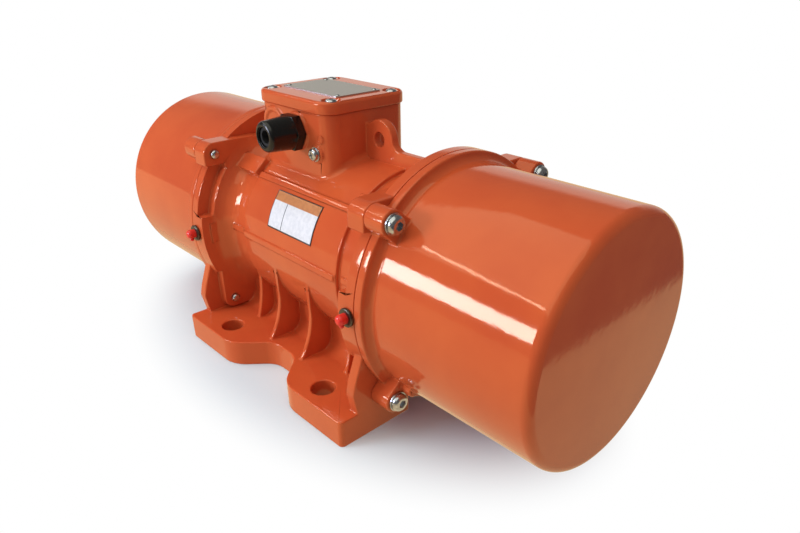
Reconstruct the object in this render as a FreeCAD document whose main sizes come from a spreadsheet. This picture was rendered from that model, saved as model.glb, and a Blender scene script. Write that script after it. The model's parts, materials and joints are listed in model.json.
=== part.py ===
import FreeCAD, Part
import Sketcher
import math
import os

# Vibration motor, foot mounted, with unbalance weights under a cover at each end.
# Millimetres. X runs along the shaft, Z is up, the origin is on the ground under
# the middle of the motor and the cable gland faces -Y.

doc = FreeCAD.newDocument("VibrationMotor")
Vector = FreeCAD.Vector

SIZES = {
    # casting: barrel and end flanges, measured from the shaft axis
    "axis_height": 90,
    "body_half_length": 100,
    "barrel_radius": 66.5,
    "barrel_half_length": 57,
    "neck_radius": 63.8,
    "flare_radius": 17,
    "flange_radius": 83,
    "flange_inner": 85,
    "crown_radius": 86.4,
    "crown_inner": 92,
    "crown_half_angle": 42,
    "crown_edge": 1.5,
    # ears at the corners of each flange, which take the cover screws
    "ear_y": 67.3,
    "ear_z": 60.7,
    "ear_radius": 8.5,
    "rib_angle": 49.5,
    "rib_radius": 71,
    "rib_width": 14,
    # rails along the barrel
    "rail_radius": 68.1,
    "rail_width": 5,
    "rail_half_length": 55.5,
    "rail_upper_angle": 45.2,
    "rail_lower_angle": 4.5,
    "rail_stub_start": 60,
    "rail_stub_end": 75,
    # feet
    "foot_height": 20,
    "foot_outer": 101.5,
    "foot_inner": 42,
    "foot_corner": 3.5,
    "foot_hole_radius": 8.5,
    "foot_hole_x": 60,
    "foot_hole_y": 85,
    "notch_mouth": 47.3,
    "notch_depth_y": 76,
    "notch_slope": 48,
    "notch_mouth_radius": 24,
    "notch_root_radius": 18,
    # walls between barrel and feet
    "saddle_inner": 39,
    "saddle_outer": 48,
    "saddle_top": 55,
    "cove_radius": 11,
    "gusset_thickness": 4,
    "gusset_inner_x": 20,
    "gusset_outer_x": 57,
    "gusset_inner_top_y": 66,
    "gusset_inner_waist_y": 64.4,
    "gusset_inner_foot_y": 76,
    "gusset_outer_top_y": 62.5,
    "gusset_outer_waist_y": 57.8,
    "gusset_outer_foot_y": 63.5,
    "gusset_waist_z": 55,
    "web_top_y": 79.4,
    "web_top_z": 66,
    "web_knee_y": 88,
    "web_knee_z": 43,
    "web_hip_y": 90,
    "web_hip_z": 35,
    "web_toe_y": 87,
    # terminal box
    "box_x": -24,
    "lid_half_x": 42.9,
    "lid_half_y": 37.9,
    "lid_corner": 13,
    "lid_top": 198.6,
    "lid_thickness": 8.6,
    "lid_edge_round": 2.5,
    "lid_overhang": 1.5,
    "gasket_thickness": 1.5,
    "gasket_inset": 1,
    "gasket_width": 2.2,
    "box_wall": 5,
    "box_floor": 160,
    "box_foot": 130,
    "box_base_fillet": 5,
    "lid_screw_x": 35,
    "lid_screw_y": 27,
    "lid_screw_radius": 2.5,
    "lid_screw_head_radius": 4.2,
    "lid_screw_head_height": 2.8,
    "lid_screw_length": 18,
    "lid_recess_radius": 6.5,
    "lid_recess_depth": 2.2,
    "screw_post_radius": 5.8,
    "cable_duct_radius": 7,
    "plate_half_x": 32,
    "plate_half_y": 20,
    "plate_corner": 2,
    "plate_thickness": 0.8,
    "rivet_x": 28.5,
    "rivet_y": 16.5,
    "rivet_radius": 1.6,
    "rivet_height": 0.8,
    "rivet_shank_radius": 1.1,
    "rivet_shank_length": 4,
    # cable entries and gland
    "entry_height": 175,
    "entry_front_y": 38.2,
    "entry_radius": 13,
    "gland_x": -17,
    "blind_x": -45,
    "blind_recess_radius": 9.5,
    "blind_recess_depth": 1.2,
    "gland_thread_radius": 10,
    "gland_thread_length": 13,
    "gland_hex_flats": 23.5,
    "gland_hex_length": 7,
    "gland_collar_radius": 11,
    "gland_collar_length": 8,
    "gland_bore_radius": 6.5,
    "dome_radius": 11.9,
    "dome_end_radius": 9,
    "dome_length": 19.3,
    "dome_mouth_radius": 6.6,
    "seal_hole_radius": 4.5,
    "locknut_flats": 25,
    "locknut_thickness": 5,
    # earth screw
    "earth_x": 4,
    "earth_z": 162.5,
    "earth_pad_radius": 6.4,
    "earth_pad_height": 1,
    "earth_washer_radius": 5,
    "earth_washer_thickness": 1,
    "earth_head_radius": 4.3,
    "earth_head_height": 3,
    "earth_thread_radius": 2.5,
    "earth_thread_length": 5,
    # lifting lug and ridge
    "lug_x": 31,
    "lug_z": 171.4,
    "lug_radius": 13.5,
    "lug_shoulder": 45,
    "lug_hole_radius": 5,
    "lug_thickness": 6.4,
    "lug_fillet": 8,
    "ridge_top": 166,
    # grease nipples
    "nipple_x": 94.5,
    "nipple_block_inner": 84,
    "nipple_block_height": 16,
    "nipple_block_front": 85.6,
    "nipple_radius": 4.2,
    "nipple_length": 2.3,
    "nipple_stem_radius": 2.4,
    "nipple_stem_length": 5,
    "nipple_tip_radius": 1.9,
    "nipple_tip_length": 4.5,
    "cap_radius": 3.5,
    "cap_length": 7,
    "cap_bore_radius": 1.95,
    "cap_ball_radius": 1.6,
    # blank label plate on the barrel
    "label_left": -25,
    "label_right": 27.5,
    "label_low_angle": 16.5,
    "label_high_angle": 40.7,
    "label_thickness": 0.5,
    # bores of the casting
    "stator_bore_radius": 57.5,
    "stator_bore_half": 66,
    "spigot_radius": 59.5,
    "end_recess_radius": 76,
    "end_recess_depth": 8,
    # stator
    "core_half_length": 40,
    "stator_inner_radius": 35.5,
    "slot_count": 18,
    "slot_floor_radius": 49,
    "slot_width": 5,
    "slot_mouth_width": 2.4,
    "slot_mouth_depth": 1.5,
    "coil_inner_radius": 38.5,
    "coil_outer_radius": 53,
    "coil_half_length": 58,
    "coil_round": 5,
    "air_gap": 0.5,
    # rotor and shaft
    "shaft_middle_radius": 22,
    "shaft_middle_half": 62,
    "shaft_shoulder_radius": 20,
    "bearing_start": 70,
    "bearing_width": 21,
    "bearing_bore_radius": 17.5,
    "bearing_outer_radius": 40,
    "shaft_end_radius": 15,
    "shaft_half_length": 206,
    "shaft_chamfer": 1.5,
    "end_ring_radius": 33,
    "end_ring_end": 48,
    # bearing
    "roller_pitch_radius": 28.6,
    "roller_radius": 5.1,
    "roller_length": 14,
    "roller_count": 8,
    "roller_play": 0.05,
    "cage_inner_radius": 26.6,
    "cage_outer_radius": 30.6,
    "cage_length": 18,
    # bearing flange and covers
    "flange_plate_radius": 75.8,
    "fit_gap": 0.1,
    "seal_radius": 30,
    "seal_start": 94,
    "seal_lip_gap": 0.4,
    "inner_cover_start": 66,
    "inner_cover_radius": 52,
    "inner_cover_bore_radius": 21.5,
    "flange_screw_pitch_radius": 67.5,
    "flange_screw_count": 6,
    "flange_screw_radius": 3,
    "flange_screw_head_radius": 5,
    "flange_screw_head_height": 5.5,
    "flange_screw_length": 14,
    # unbalance weights
    "sleeve_end": 110,
    "sleeve_gap": 0.05,
    "fixed_weight_width": 38,
    "weight_gap": 4,
    "adjustable_weight_width": 38,
    "hub_radius": 25,
    "lobe_radius": 71,
    "lobe_half_angle": 72,
    "key_width": 8,
    "key_height": 7,
    "key_sunk": 4,
    "key_length": 32,
    "clamp_slit": 3,
    "clamp_height": 31,
    "clamp_screw_radius": 4,
    "clamp_head_radius": 6,
    "clamp_head_height": 8,
    "clamp_ear_half_width": 13,
    "clamp_ear_top": 38,
    "washer_radius": 22,
    "washer_thickness": 3,
    "ring_radius": 19,
    "ring_thickness": 2,
    "ring_groove_radius": 14,
    # weight covers
    "cover_radius": 80,
    "cover_wall": 3,
    "cover_end": 226,
    "cover_edge_round": 6,
    "cover_rim_end": 114,
    "cover_rim_fillet": 3,
    "crown_fillet": 4.5,
    "cover_ear_end": 116,
    "fairing_end": 127,
    "fairing_radius": 5,
    "fairing_centre": 77.6,
    "cover_seal_inner": 78.2,
    "cover_seal_width": 2.6,
    "cover_seal_depth": 2.2,
    "cover_screw_radius": 3,
    "cover_screw_play": 0.3,
    "cover_screw_head_radius": 6,
    "cover_screw_head_height": 4,
    "cover_screw_socket_radius": 2,
    "cover_screw_tip": 81.5,
    "cover_washer_radius": 6.8,
    "cover_washer_thickness": 1.4,
    # terminal block
    "terminal_half_x": 18,
    "terminal_half_y": 9,
    "terminal_height": 12,
    "stud_pitch": 12,
    "stud_row": 5,
    "stud_radius": 1.8,
    "stud_top": 8,
    "link_width": 5,
    "link_thickness": 1,
}

sheet = doc.addObject("Spreadsheet::Sheet", "Sizes")
for row, (name, value) in enumerate(SIZES.items(), start=1):
    sheet.set(f"A{row}", name)
    sheet.set(f"B{row}", str(value))
    sheet.setAlias(f"B{row}", name)
doc.recompute()


class Size:
    """A length or an angle that carries the spreadsheet formula it comes from."""

    def __init__(self, value, formula):
        self.value = float(value)
        self.formula = formula

    def __add__(self, other):
        other = as_size(other)
        return Size(self.value + other.value, f"({self.formula} + {other.formula})")

    def __radd__(self, other):
        return as_size(other) + self

    def __sub__(self, other):
        other = as_size(other)
        return Size(self.value - other.value, f"({self.formula} - {other.formula})")

    def __rsub__(self, other):
        return as_size(other) - self

    def __mul__(self, other):
        other = as_size(other)
        return Size(self.value * other.value, f"({self.formula} * {other.formula})")

    def __rmul__(self, other):
        return as_size(other) * self

    def __truediv__(self, other):
        other = as_size(other)
        return Size(self.value / other.value, f"({self.formula} / {other.formula})")

    def __rtruediv__(self, other):
        return as_size(other) / self

    def __neg__(self):
        return Size(-self.value, f"(-1 * {self.formula})")


def as_size(number):
    return number if isinstance(number, Size) else Size(number, f"({number})")


def sine(angle):
    return Size(math.sin(math.radians(angle.value)), f"sin({angle.formula})")


def cosine(angle):
    return Size(math.cos(math.radians(angle.value)), f"cos({angle.formula})")


class Table:
    """Gives every named size as an attribute."""

    def __getattr__(self, name):
        return Size(SIZES[name], f"Sizes.{name}")


s = Table()


class Bend:
    """Arc between two corners: its radius, and +1 for a left turn or -1 for a right turn."""

    def __init__(self, radius, turn):
        self.radius = as_size(radius)
        self.turn = turn


# ---------------------------------------------------------------- drawing helpers

def new_body(label):
    body = doc.addObject("PartDesign::Body", label)
    body.Label = label
    return body


def bind(item, setting, size):
    size = as_size(size)
    item.setExpression(setting, size.formula)
    return size.value


def new_sketch(body, role, name, across=0, up=0, offset=0):
    """Sketch flat on one of the body's own planes, its origin moved by three sizes."""
    sketch = body.newObject("Sketcher::SketchObject", name)
    plane = next(item for item in body.Origin.OriginFeatures if item.Role == role)
    sketch.AttachmentSupport = (plane, [""])
    sketch.MapMode = "FlatFace"
    base = Vector(as_size(across).value, as_size(up).value, as_size(offset).value)
    sketch.AttachmentOffset = FreeCAD.Placement(base, FreeCAD.Rotation())
    bind(sketch, "AttachmentOffset.Base.x", across)
    bind(sketch, "AttachmentOffset.Base.y", up)
    bind(sketch, "AttachmentOffset.Base.z", offset)
    return sketch


def pin(sketch, geometry, vertex, point):
    for kind, distance in zip(("DistanceX", "DistanceY"), point):
        distance = as_size(distance)
        rule = Sketcher.Constraint(kind, -1, 1, geometry, vertex, distance.value)
        index = sketch.addConstraint(rule)
        sketch.setExpression(f"Constraints[{index}]", distance.formula)


def fix_radius(sketch, geometry, radius):
    radius = as_size(radius)
    index = sketch.addConstraint(Sketcher.Constraint("Radius", geometry, radius.value))
    sketch.setExpression(f"Constraints[{index}]", radius.formula)


def add_arc(sketch, start, end, bend):
    """Adds the shorter arc from start to end; returns its geometry and its two vertices."""
    chord = end - start
    reach = math.sqrt(max(bend.radius.value ** 2 - chord.Length ** 2 / 4, 0))
    left = Vector(-chord.y, chord.x, 0).normalize()
    centre = (start + end) * 0.5 + left * (reach * bend.turn)
    first, last = (start, end) if bend.turn > 0 else (end, start)
    angles = [math.atan2(point.y - centre.y, point.x - centre.x) for point in (first, last)]
    circle = Part.Circle(centre, Vector(0, 0, 1), bend.radius.value)
    geometry = sketch.addGeometry(Part.ArcOfCircle(circle, angles[0], angles[1]), False)
    fix_radius(sketch, geometry, bend.radius)
    return (geometry, 1, 2) if bend.turn > 0 else (geometry, 2, 1)


def outline(sketch, corners):
    """Closed loop through corners; a Bend between two corners makes that edge an arc."""
    points = [item for item in corners if not isinstance(item, Bend)]
    edges = []
    for index, item in enumerate(corners):
        if isinstance(item, Bend):
            continue
        following = corners[(index + 1) % len(corners)]
        bend = following if isinstance(following, Bend) else None
        end = corners[(index + 2) % len(corners)] if bend else following
        start_at = Vector(as_size(item[0]).value, as_size(item[1]).value, 0)
        end_at = Vector(as_size(end[0]).value, as_size(end[1]).value, 0)
        if bend:
            edges.append(add_arc(sketch, start_at, end_at, bend))
        else:
            edges.append((sketch.addGeometry(Part.LineSegment(start_at, end_at), False), 1, 2))
    for index, (geometry, start, end) in enumerate(edges):
        after, after_start, _ = edges[(index + 1) % len(edges)]
        sketch.addConstraint(Sketcher.Constraint("Coincident", geometry, end, after, after_start))
        pin(sketch, geometry, start, points[index])


def circle(sketch, x, y, radius):
    centre = Vector(as_size(x).value, as_size(y).value, 0)
    shape = Part.Circle(centre, Vector(0, 0, 1), as_size(radius).value)
    geometry = sketch.addGeometry(shape, False)
    pin(sketch, geometry, 3, (x, y))
    fix_radius(sketch, geometry, radius)


def box(sketch, left, right, bottom, top):
    outline(sketch, [(left, bottom), (right, bottom), (right, top), (left, top)])


def round_box(sketch, half_x, half_y, corner, x=0, y=0):
    """Rectangle with four equal round corners, centred at x, y."""
    left, right = x - half_x, x + half_x
    low, high = y - half_y, y + half_y
    bend = Bend(corner, 1)
    outline(sketch, [
        (left + corner, low), (right - corner, low), bend,
        (right, low + corner), (right, high - corner), bend,
        (right - corner, high), (left + corner, high), bend,
        (left, high - corner), (left, low + corner), bend,
    ])


def hexagon(sketch, flats):
    radius = flats / math.sqrt(3)
    corners = [(math.cos(math.radians(60 * k)), math.sin(math.radians(60 * k))) for k in range(6)]
    outline(sketch, [(radius * a, radius * b) for a, b in corners])


def extrude(body, kind, sketch, length, reverse=False, both=False):
    feature = body.newObject(f"PartDesign::{kind}", f"{kind}_{sketch.Name}")
    feature.Profile = sketch
    feature.Length = bind(feature, "Length", length)
    feature.Reversed = reverse
    feature.Refine = False
    if both:
        feature.SideType = "Symmetric"
    sketch.Visibility = False
    return feature


def turn(body, kind, name, corners, centre=0, plane="XY_Plane", height=s.axis_height):
    """Turns or bores a profile of (position along the shaft, radius) corners."""
    sketch = new_sketch(body, plane, name, centre, 0, height)
    outline(sketch, corners)
    feature = body.newObject(f"PartDesign::{kind}", f"{kind}_{name}")
    feature.Profile = sketch
    feature.ReferenceAxis = (sketch, ["H_Axis"])
    feature.Angle = 360
    feature.Refine = False
    sketch.Visibility = False
    return feature


def ring(body, name, start, end, inner, outer, kind="Revolution"):
    corners = [(start, inner), (end, inner), (end, outer), (start, outer)]
    return turn(body, kind, name, corners)


def slab(body, kind, name, draw, side, start, end, up=s.axis_height):
    """Extrudes draw(sketch) between two distances from the middle of the motor."""
    sketch = new_sketch(body, "YZ_Plane", name, 0, up, side * start)
    draw(sketch)
    return extrude(body, kind, sketch, end - start, reverse=(side < 0) != (kind == "Pocket"))


def pattern(body, feature, sketch, count):
    """Repeats a feature evenly around the sketch's own normal."""
    polar = body.newObject("PartDesign::PolarPattern", f"Polar_{feature.Name}")
    polar.Originals = [feature]
    polar.Axis = (sketch, ["N_Axis"])
    polar.Angle = 360
    polar.setExpression("Occurrences", as_size(count).formula)
    polar.Refine = False
    body.Tip = polar
    return polar


def finish(body):
    """Ends a body; its last feature alone merges the faces that lie flush."""
    body.Tip = body.Group[-1]
    body.Tip.Refine = True
    return body


def side_name(label, side):
    return f"{label}_{'right' if side > 0 else 'left'}"


def turned(side, corners):
    """Mirrors shaft-wise corners to one end and keeps every bend turning the right way."""
    mirrored = []
    for item in corners:
        if isinstance(item, Bend):
            mirrored.append(Bend(item.radius, item.turn * side))
        else:
            mirrored.append((side * item[0], item[1]))
    return mirrored


def polar_point(radius, angle, across=0, hand=1, lift=1):
    """Point at an angle above the horizontal, moved sideways, in any of four quadrants."""
    y = radius * cosine(angle) - across * sine(angle)
    z = radius * sine(angle) + across * cosine(angle)
    return (hand * y, lift * z)


QUADRANTS = [(1, 1), (-1, 1), (-1, -1), (1, -1)]
SIDES = [1, -1]


def around(sketch, count, pitch_radius, radius):
    """Equal circles spread evenly about the sketch's origin, the first one at the top."""
    for step in range(SIZES[count]):
        angle = 360 * step / getattr(s, count)
        circle(sketch, pitch_radius * sine(angle), pitch_radius * cosine(angle), radius)


def at_ears(radius):
    """Draws a circle on each of the four ears."""
    def draw(sketch):
        for hand, lift in QUADRANTS:
            circle(sketch, hand * s.ear_y, lift * s.ear_z, radius)
    return draw


def draw_ears(sketch):
    """Square plate behind the round flange; its four round corners are the ears."""
    round_box(sketch, s.ear_y + s.ear_radius, s.ear_z + s.ear_radius, s.ear_radius)


def bar(sketch, angle, width, inner, outer, hand):
    """Rectangle standing on the barrel at an angle, as seen along the shaft."""
    outline(sketch, [
        polar_point(inner, angle, -width / 2, hand),
        polar_point(outer, angle, -width / 2, hand),
        polar_point(outer, angle, width / 2, hand),
        polar_point(inner, angle, width / 2, hand),
    ])


def crown(body, name, profiles):
    """Turns profiles of (position, radius) through the arc between the two upper ears."""
    sketch = new_sketch(body, "XZ_Plane", name, 0, s.axis_height)
    for corners in profiles:
        outline(sketch, corners)
    feature = body.newObject("PartDesign::Revolution", f"Revolution_{name}")
    feature.Profile = sketch
    feature.ReferenceAxis = (sketch, ["H_Axis"])
    feature.Angle = bind(feature, "Angle", s.crown_half_angle * 2)
    feature.Midplane = True
    feature.Refine = False
    sketch.Visibility = False
    return feature


def base_edges(shape):
    """Names of the edges where the terminal box stands on the barrel."""
    names = []
    for number, edge in enumerate(shape.Edges, 1):
        extent = edge.BoundBox
        above_shaft = extent.ZMin > SIZES["axis_height"]
        below_lid = extent.ZMax < SIZES["lid_top"] - SIZES["lid_thickness"] - 1
        reach_x = abs(extent.Center.x - SIZES["box_x"]) + extent.XLength / 2
        reach_y = abs(extent.Center.y) + extent.YLength / 2
        within_box = reach_x < SIZES["lid_half_x"] and reach_y < SIZES["lid_half_y"]
        if above_shaft and below_lid and within_box:
            names.append(f"Edge{number}")
    return names


# ---------------------------------------------------------------- motor body casting

body = new_body("motor_body")
flare_end = s.flange_inner - s.flare_radius
flare_top = s.neck_radius + s.flare_radius
turn(body, "Revolution", "barrel", [
    (-s.body_half_length, 0),
    (-s.body_half_length, s.flange_radius),
    (-s.flange_inner, s.flange_radius),
    (-s.flange_inner, flare_top),
    Bend(s.flare_radius, 1),
    (-flare_end, s.neck_radius),
    (-s.barrel_half_length, s.neck_radius),
    (-s.barrel_half_length, s.barrel_radius),
    (s.barrel_half_length, s.barrel_radius),
    (s.barrel_half_length, s.neck_radius),
    (flare_end, s.neck_radius),
    Bend(s.flare_radius, 1),
    (s.flange_inner, flare_top),
    (s.flange_inner, s.flange_radius),
    (s.body_half_length, s.flange_radius),
    (s.body_half_length, 0),
])

# terminal box, rounded into the barrel where it stands on it
lid_under = s.lid_top - s.lid_thickness
wall_x = s.lid_half_x - s.lid_overhang
wall_y = s.lid_half_y - s.lid_overhang
wall_corner = s.lid_corner - s.lid_overhang
sketch = new_sketch(body, "XY_Plane", "box_walls", s.box_x, 0, s.box_foot)
round_box(sketch, wall_x, wall_y, wall_corner)
walls = extrude(body, "Pad", sketch, lid_under - s.box_foot)
doc.recompute()
fillet = body.newObject("PartDesign::Fillet", "Fillet_box_base")
fillet.Base = (walls, base_edges(walls.Shape))
fillet.Radius = bind(fillet, "Radius", s.box_base_fillet)
fillet.Refine = False

# flat ledge across the top of each flange, between ear plate and crown
ledge_height = s.ear_z + s.ear_radius
sketch = new_sketch(body, "XZ_Plane", "ledges", 0, s.axis_height)
for side in SIDES:
    box(sketch, side * (flare_end + 2), side * s.crown_inner, ledge_height, ledge_height + 40)
extrude(body, "Pocket", sketch, s.flange_radius * 2, both=True)
crown(body, "crowns", [turned(side, [
    (s.crown_inner, s.spigot_radius),
    (s.crown_inner, s.crown_radius - s.crown_edge),
    Bend(s.crown_edge, -1),
    (s.crown_inner + s.crown_edge, s.crown_radius),
    (s.body_half_length, s.crown_radius),
    (s.body_half_length, s.spigot_radius),
]) for side in SIDES])

for side in SIDES:
    # square plate with the ears, and ribs that tie the upper ears to the barrel
    slab(body, "Pad", side_name("ears", side), draw_ears, side, s.flange_inner,
         s.body_half_length)

    def draw_ribs(sketch):
        for hand in SIDES:
            bar(sketch, s.rib_angle, s.rib_width, s.neck_radius - 4, s.rib_radius, hand)
    slab(body, "Pad", side_name("ribs", side), draw_ribs, side, s.barrel_half_length - 1,
         s.flange_inner + 1)

    # short stubs that carry the lower rails on across the neck
    def draw_stubs(sketch):
        reach = s.neck_radius + s.rail_radius - s.barrel_radius
        for hand in SIDES:
            bar(sketch, s.rail_lower_angle, s.rail_width, s.neck_radius - 4, reach, hand)
    slab(body, "Pad", side_name("rail_stubs", side), draw_stubs, side, s.rail_stub_start,
         s.rail_stub_end)

# rails along both flanks of the barrel
sketch = new_sketch(body, "YZ_Plane", "rails", 0, s.axis_height)
for hand in SIDES:
    for angle in (s.rail_upper_angle, s.rail_lower_angle):
        bar(sketch, angle, s.rail_width, s.neck_radius - 4, s.rail_radius, hand)
extrude(body, "Pad", sketch, s.rail_half_length * 2, both=True)

# feet: plates with an S-shaped notch in the outer edge
mouth_x = s.notch_mouth - s.notch_mouth_radius * sine(s.notch_slope)
mouth_y = s.foot_outer - s.notch_mouth_radius * (1 - cosine(s.notch_slope))
root_y = s.notch_depth_y + s.notch_root_radius * (1 - cosine(s.notch_slope))
root_x = mouth_x - (mouth_y - root_y) * cosine(s.notch_slope) / sine(s.notch_slope)
floor_x = root_x - s.notch_root_radius * sine(s.notch_slope)
edge, corner = s.body_half_length, s.foot_corner
sketch = new_sketch(body, "XY_Plane", "feet")
for hand in SIDES:
    outline(sketch, [
        (-edge, hand * s.foot_inner),
        (edge, hand * s.foot_inner),
        (edge, hand * (s.foot_outer - corner)),
        Bend(corner, hand),
        (edge - corner, hand * s.foot_outer),
        (s.notch_mouth, hand * s.foot_outer),
        Bend(s.notch_mouth_radius, hand),
        (mouth_x, hand * mouth_y),
        (root_x, hand * root_y),
        Bend(s.notch_root_radius, -hand),
        (floor_x, hand * s.notch_depth_y),
        (-floor_x, hand * s.notch_depth_y),
        Bend(s.notch_root_radius, -hand),
        (-root_x, hand * root_y),
        (-mouth_x, hand * mouth_y),
        Bend(s.notch_mouth_radius, hand),
        (-s.notch_mouth, hand * s.foot_outer),
        (corner - edge, hand * s.foot_outer),
        Bend(corner, hand),
        (-edge, hand * (s.foot_outer - corner)),
    ])
extrude(body, "Pad", sketch, s.foot_height)

# walls from the feet to the barrel, each with a cove at its foot
sketch = new_sketch(body, "YZ_Plane", "saddle")
for hand in SIDES:
    outline(sketch, [
        (hand * s.saddle_inner, 0),
        (hand * s.saddle_inner, s.saddle_top),
        (hand * s.saddle_outer, s.saddle_top),
        (hand * s.saddle_outer, s.foot_height + s.cove_radius),
        Bend(s.cove_radius, hand),
        (hand * (s.saddle_outer + s.cove_radius), s.foot_height),
        (hand * (s.saddle_outer + s.cove_radius), 0),
    ])
extrude(body, "Pad", sketch, s.crown_inner * 2, both=True)


def draw_webs(sketch):
    for hand in SIDES:
        outline(sketch, [
            (hand * s.foot_inner, 0),
            (hand * s.foot_inner, s.web_top_z),
            (hand * s.web_top_y, s.web_top_z),
            (hand * s.web_knee_y, s.web_knee_z),
            (hand * s.web_hip_y, s.web_hip_z),
            (hand * s.web_toe_y, s.foot_height),
            (hand * s.web_toe_y, 0),
        ])


def draw_gussets(top_y, waist_y, foot_y):
    """Thin plates from barrel to foot whose free edge curves in at the waist."""
    drop = s.gusset_waist_z - s.foot_height
    sweep = ((foot_y - waist_y) * (foot_y - waist_y) + drop * drop) / (foot_y - waist_y) / 2

    def draw(sketch):
        for hand in SIDES:
            outline(sketch, [
                (hand * s.saddle_inner, 0),
                (hand * s.saddle_inner, s.axis_height),
                (hand * top_y, s.axis_height),
                (hand * waist_y, s.gusset_waist_z),
                Bend(sweep, hand),
                (hand * foot_y, s.foot_height),
                (hand * foot_y, 0),
            ])
    return draw


inner_gusset = draw_gussets(s.gusset_inner_top_y, s.gusset_inner_waist_y, s.gusset_inner_foot_y)
outer_gusset = draw_gussets(s.gusset_outer_top_y, s.gusset_outer_waist_y, s.gusset_outer_foot_y)
half = s.gusset_thickness / 2
for side in SIDES:
    slab(body, "Pad", side_name("webs", side), draw_webs, side, s.crown_inner,
         s.body_half_length, up=0)
    slab(body, "Pad", side_name("inner_gussets", side), inner_gusset, side,
         s.gusset_inner_x - half, s.gusset_inner_x + half, up=0)
    slab(body, "Pad", side_name("outer_gussets", side), outer_gusset, side,
         s.gusset_outer_x - half, s.gusset_outer_x + half, up=0)

# blocks that carry the grease nipples
sketch = new_sketch(body, "XY_Plane", "nipple_blocks", 0, 0,
                    s.axis_height - s.nipple_block_height / 2)
for side in SIDES:
    box(sketch, side * s.nipple_block_inner, side * s.body_half_length,
        -s.nipple_block_front, -s.neck_radius + 6)
extrude(body, "Pad", sketch, s.nipple_block_height)

# lifting lug with its eye, and the ridge that runs from flange to flange
sketch = new_sketch(body, "XZ_Plane", "lug")
lug_right = s.lug_x + s.lug_radius
shoulder_x = s.lug_x - s.lug_radius * sine(s.lug_shoulder)
shoulder_z = s.lug_z + s.lug_radius * cosine(s.lug_shoulder)
outline(sketch, [
    (-s.flange_inner - 2, s.box_foot),
    (s.flange_inner + 2, s.box_foot),
    (s.flange_inner + 2, s.ridge_top),
    (lug_right + s.lug_fillet, s.ridge_top),
    Bend(s.lug_fillet, -1),
    (lug_right, s.ridge_top + s.lug_fillet),
    Bend(s.lug_radius, 1),
    (shoulder_x, shoulder_z),
    (s.box_x, shoulder_z),
    (s.box_x, s.ridge_top),
    (-s.flange_inner - 2, s.ridge_top),
])
circle(sketch, s.lug_x, s.lug_z, s.lug_hole_radius)
extrude(body, "Pad", sketch, s.lug_thickness, both=True)

# bosses on the front wall: two cable entries and a pad for the earth screw
sketch = new_sketch(body, "XZ_Plane", "entries", 0, s.entry_height, wall_y - 2)
for x in (s.gland_x, s.blind_x):
    circle(sketch, x, 0, s.entry_radius)
extrude(body, "Pad", sketch, s.entry_front_y - wall_y + 2)
sketch = new_sketch(body, "XZ_Plane", "earth_pad", s.earth_x, s.earth_z, wall_y - 1)
circle(sketch, 0, 0, s.earth_pad_radius)
extrude(body, "Pad", sketch, s.earth_pad_height + 1)

# inside of the terminal box, with a post in each corner for the lid screws
sketch = new_sketch(body, "XY_Plane", "box_cavity", s.box_x, 0, lid_under)
round_box(sketch, wall_x - s.box_wall, wall_y - s.box_wall, wall_corner - s.box_wall)
extrude(body, "Pocket", sketch, lid_under - s.box_floor)
sketch = new_sketch(body, "XY_Plane", "posts", s.box_x, 0, s.box_floor - 1)
for hand_x, hand_y in QUADRANTS:
    circle(sketch, hand_x * s.lid_screw_x, hand_y * s.lid_screw_y, s.screw_post_radius)
extrude(body, "Pad", sketch, lid_under - s.box_floor + 1)
sketch = new_sketch(body, "XY_Plane", "post_holes", s.box_x, 0, lid_under)
for hand_x, hand_y in QUADRANTS:
    circle(sketch, hand_x * s.lid_screw_x, hand_y * s.lid_screw_y, s.lid_screw_radius)
extrude(body, "Pocket", sketch, s.lid_screw_length)
sketch = new_sketch(body, "XZ_Plane", "gland_hole", s.gland_x, s.entry_height, s.entry_front_y)
circle(sketch, 0, 0, s.gland_thread_radius + s.fit_gap)
extrude(body, "Pocket", sketch, s.entry_front_y - wall_y + s.box_wall + 1)
sketch = new_sketch(body, "XZ_Plane", "blind_recess", s.blind_x, s.entry_height, s.entry_front_y)
circle(sketch, 0, 0, s.blind_recess_radius)
extrude(body, "Pocket", sketch, s.blind_recess_depth)
earth_face = wall_y + s.earth_pad_height
sketch = new_sketch(body, "XZ_Plane", "earth_hole", s.earth_x, s.earth_z, earth_face)
circle(sketch, 0, 0, s.earth_thread_radius)
extrude(body, "Pocket", sketch, s.earth_thread_length)

# bores: stator in the middle, a spigot fit and a recess for the bearing flange at each end
recess_start = s.body_half_length - s.end_recess_depth
turn(body, "Groove", "bore", [
    (-s.body_half_length, 0),
    (-s.body_half_length, s.end_recess_radius),
    (-recess_start, s.end_recess_radius),
    (-recess_start, s.spigot_radius),
    (-s.stator_bore_half, s.spigot_radius),
    (-s.stator_bore_half, s.stator_bore_radius),
    (s.stator_bore_half, s.stator_bore_radius),
    (s.stator_bore_half, s.spigot_radius),
    (recess_start, s.spigot_radius),
    (recess_start, s.end_recess_radius),
    (s.body_half_length, s.end_recess_radius),
    (s.body_half_length, 0),
])
sketch = new_sketch(body, "XY_Plane", "cable_duct", s.box_x, 0, s.box_floor)
circle(sketch, 0, 0, s.cable_duct_radius)
extrude(body, "Pocket", sketch, s.box_floor - s.axis_height - s.neck_radius + 12)

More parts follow.
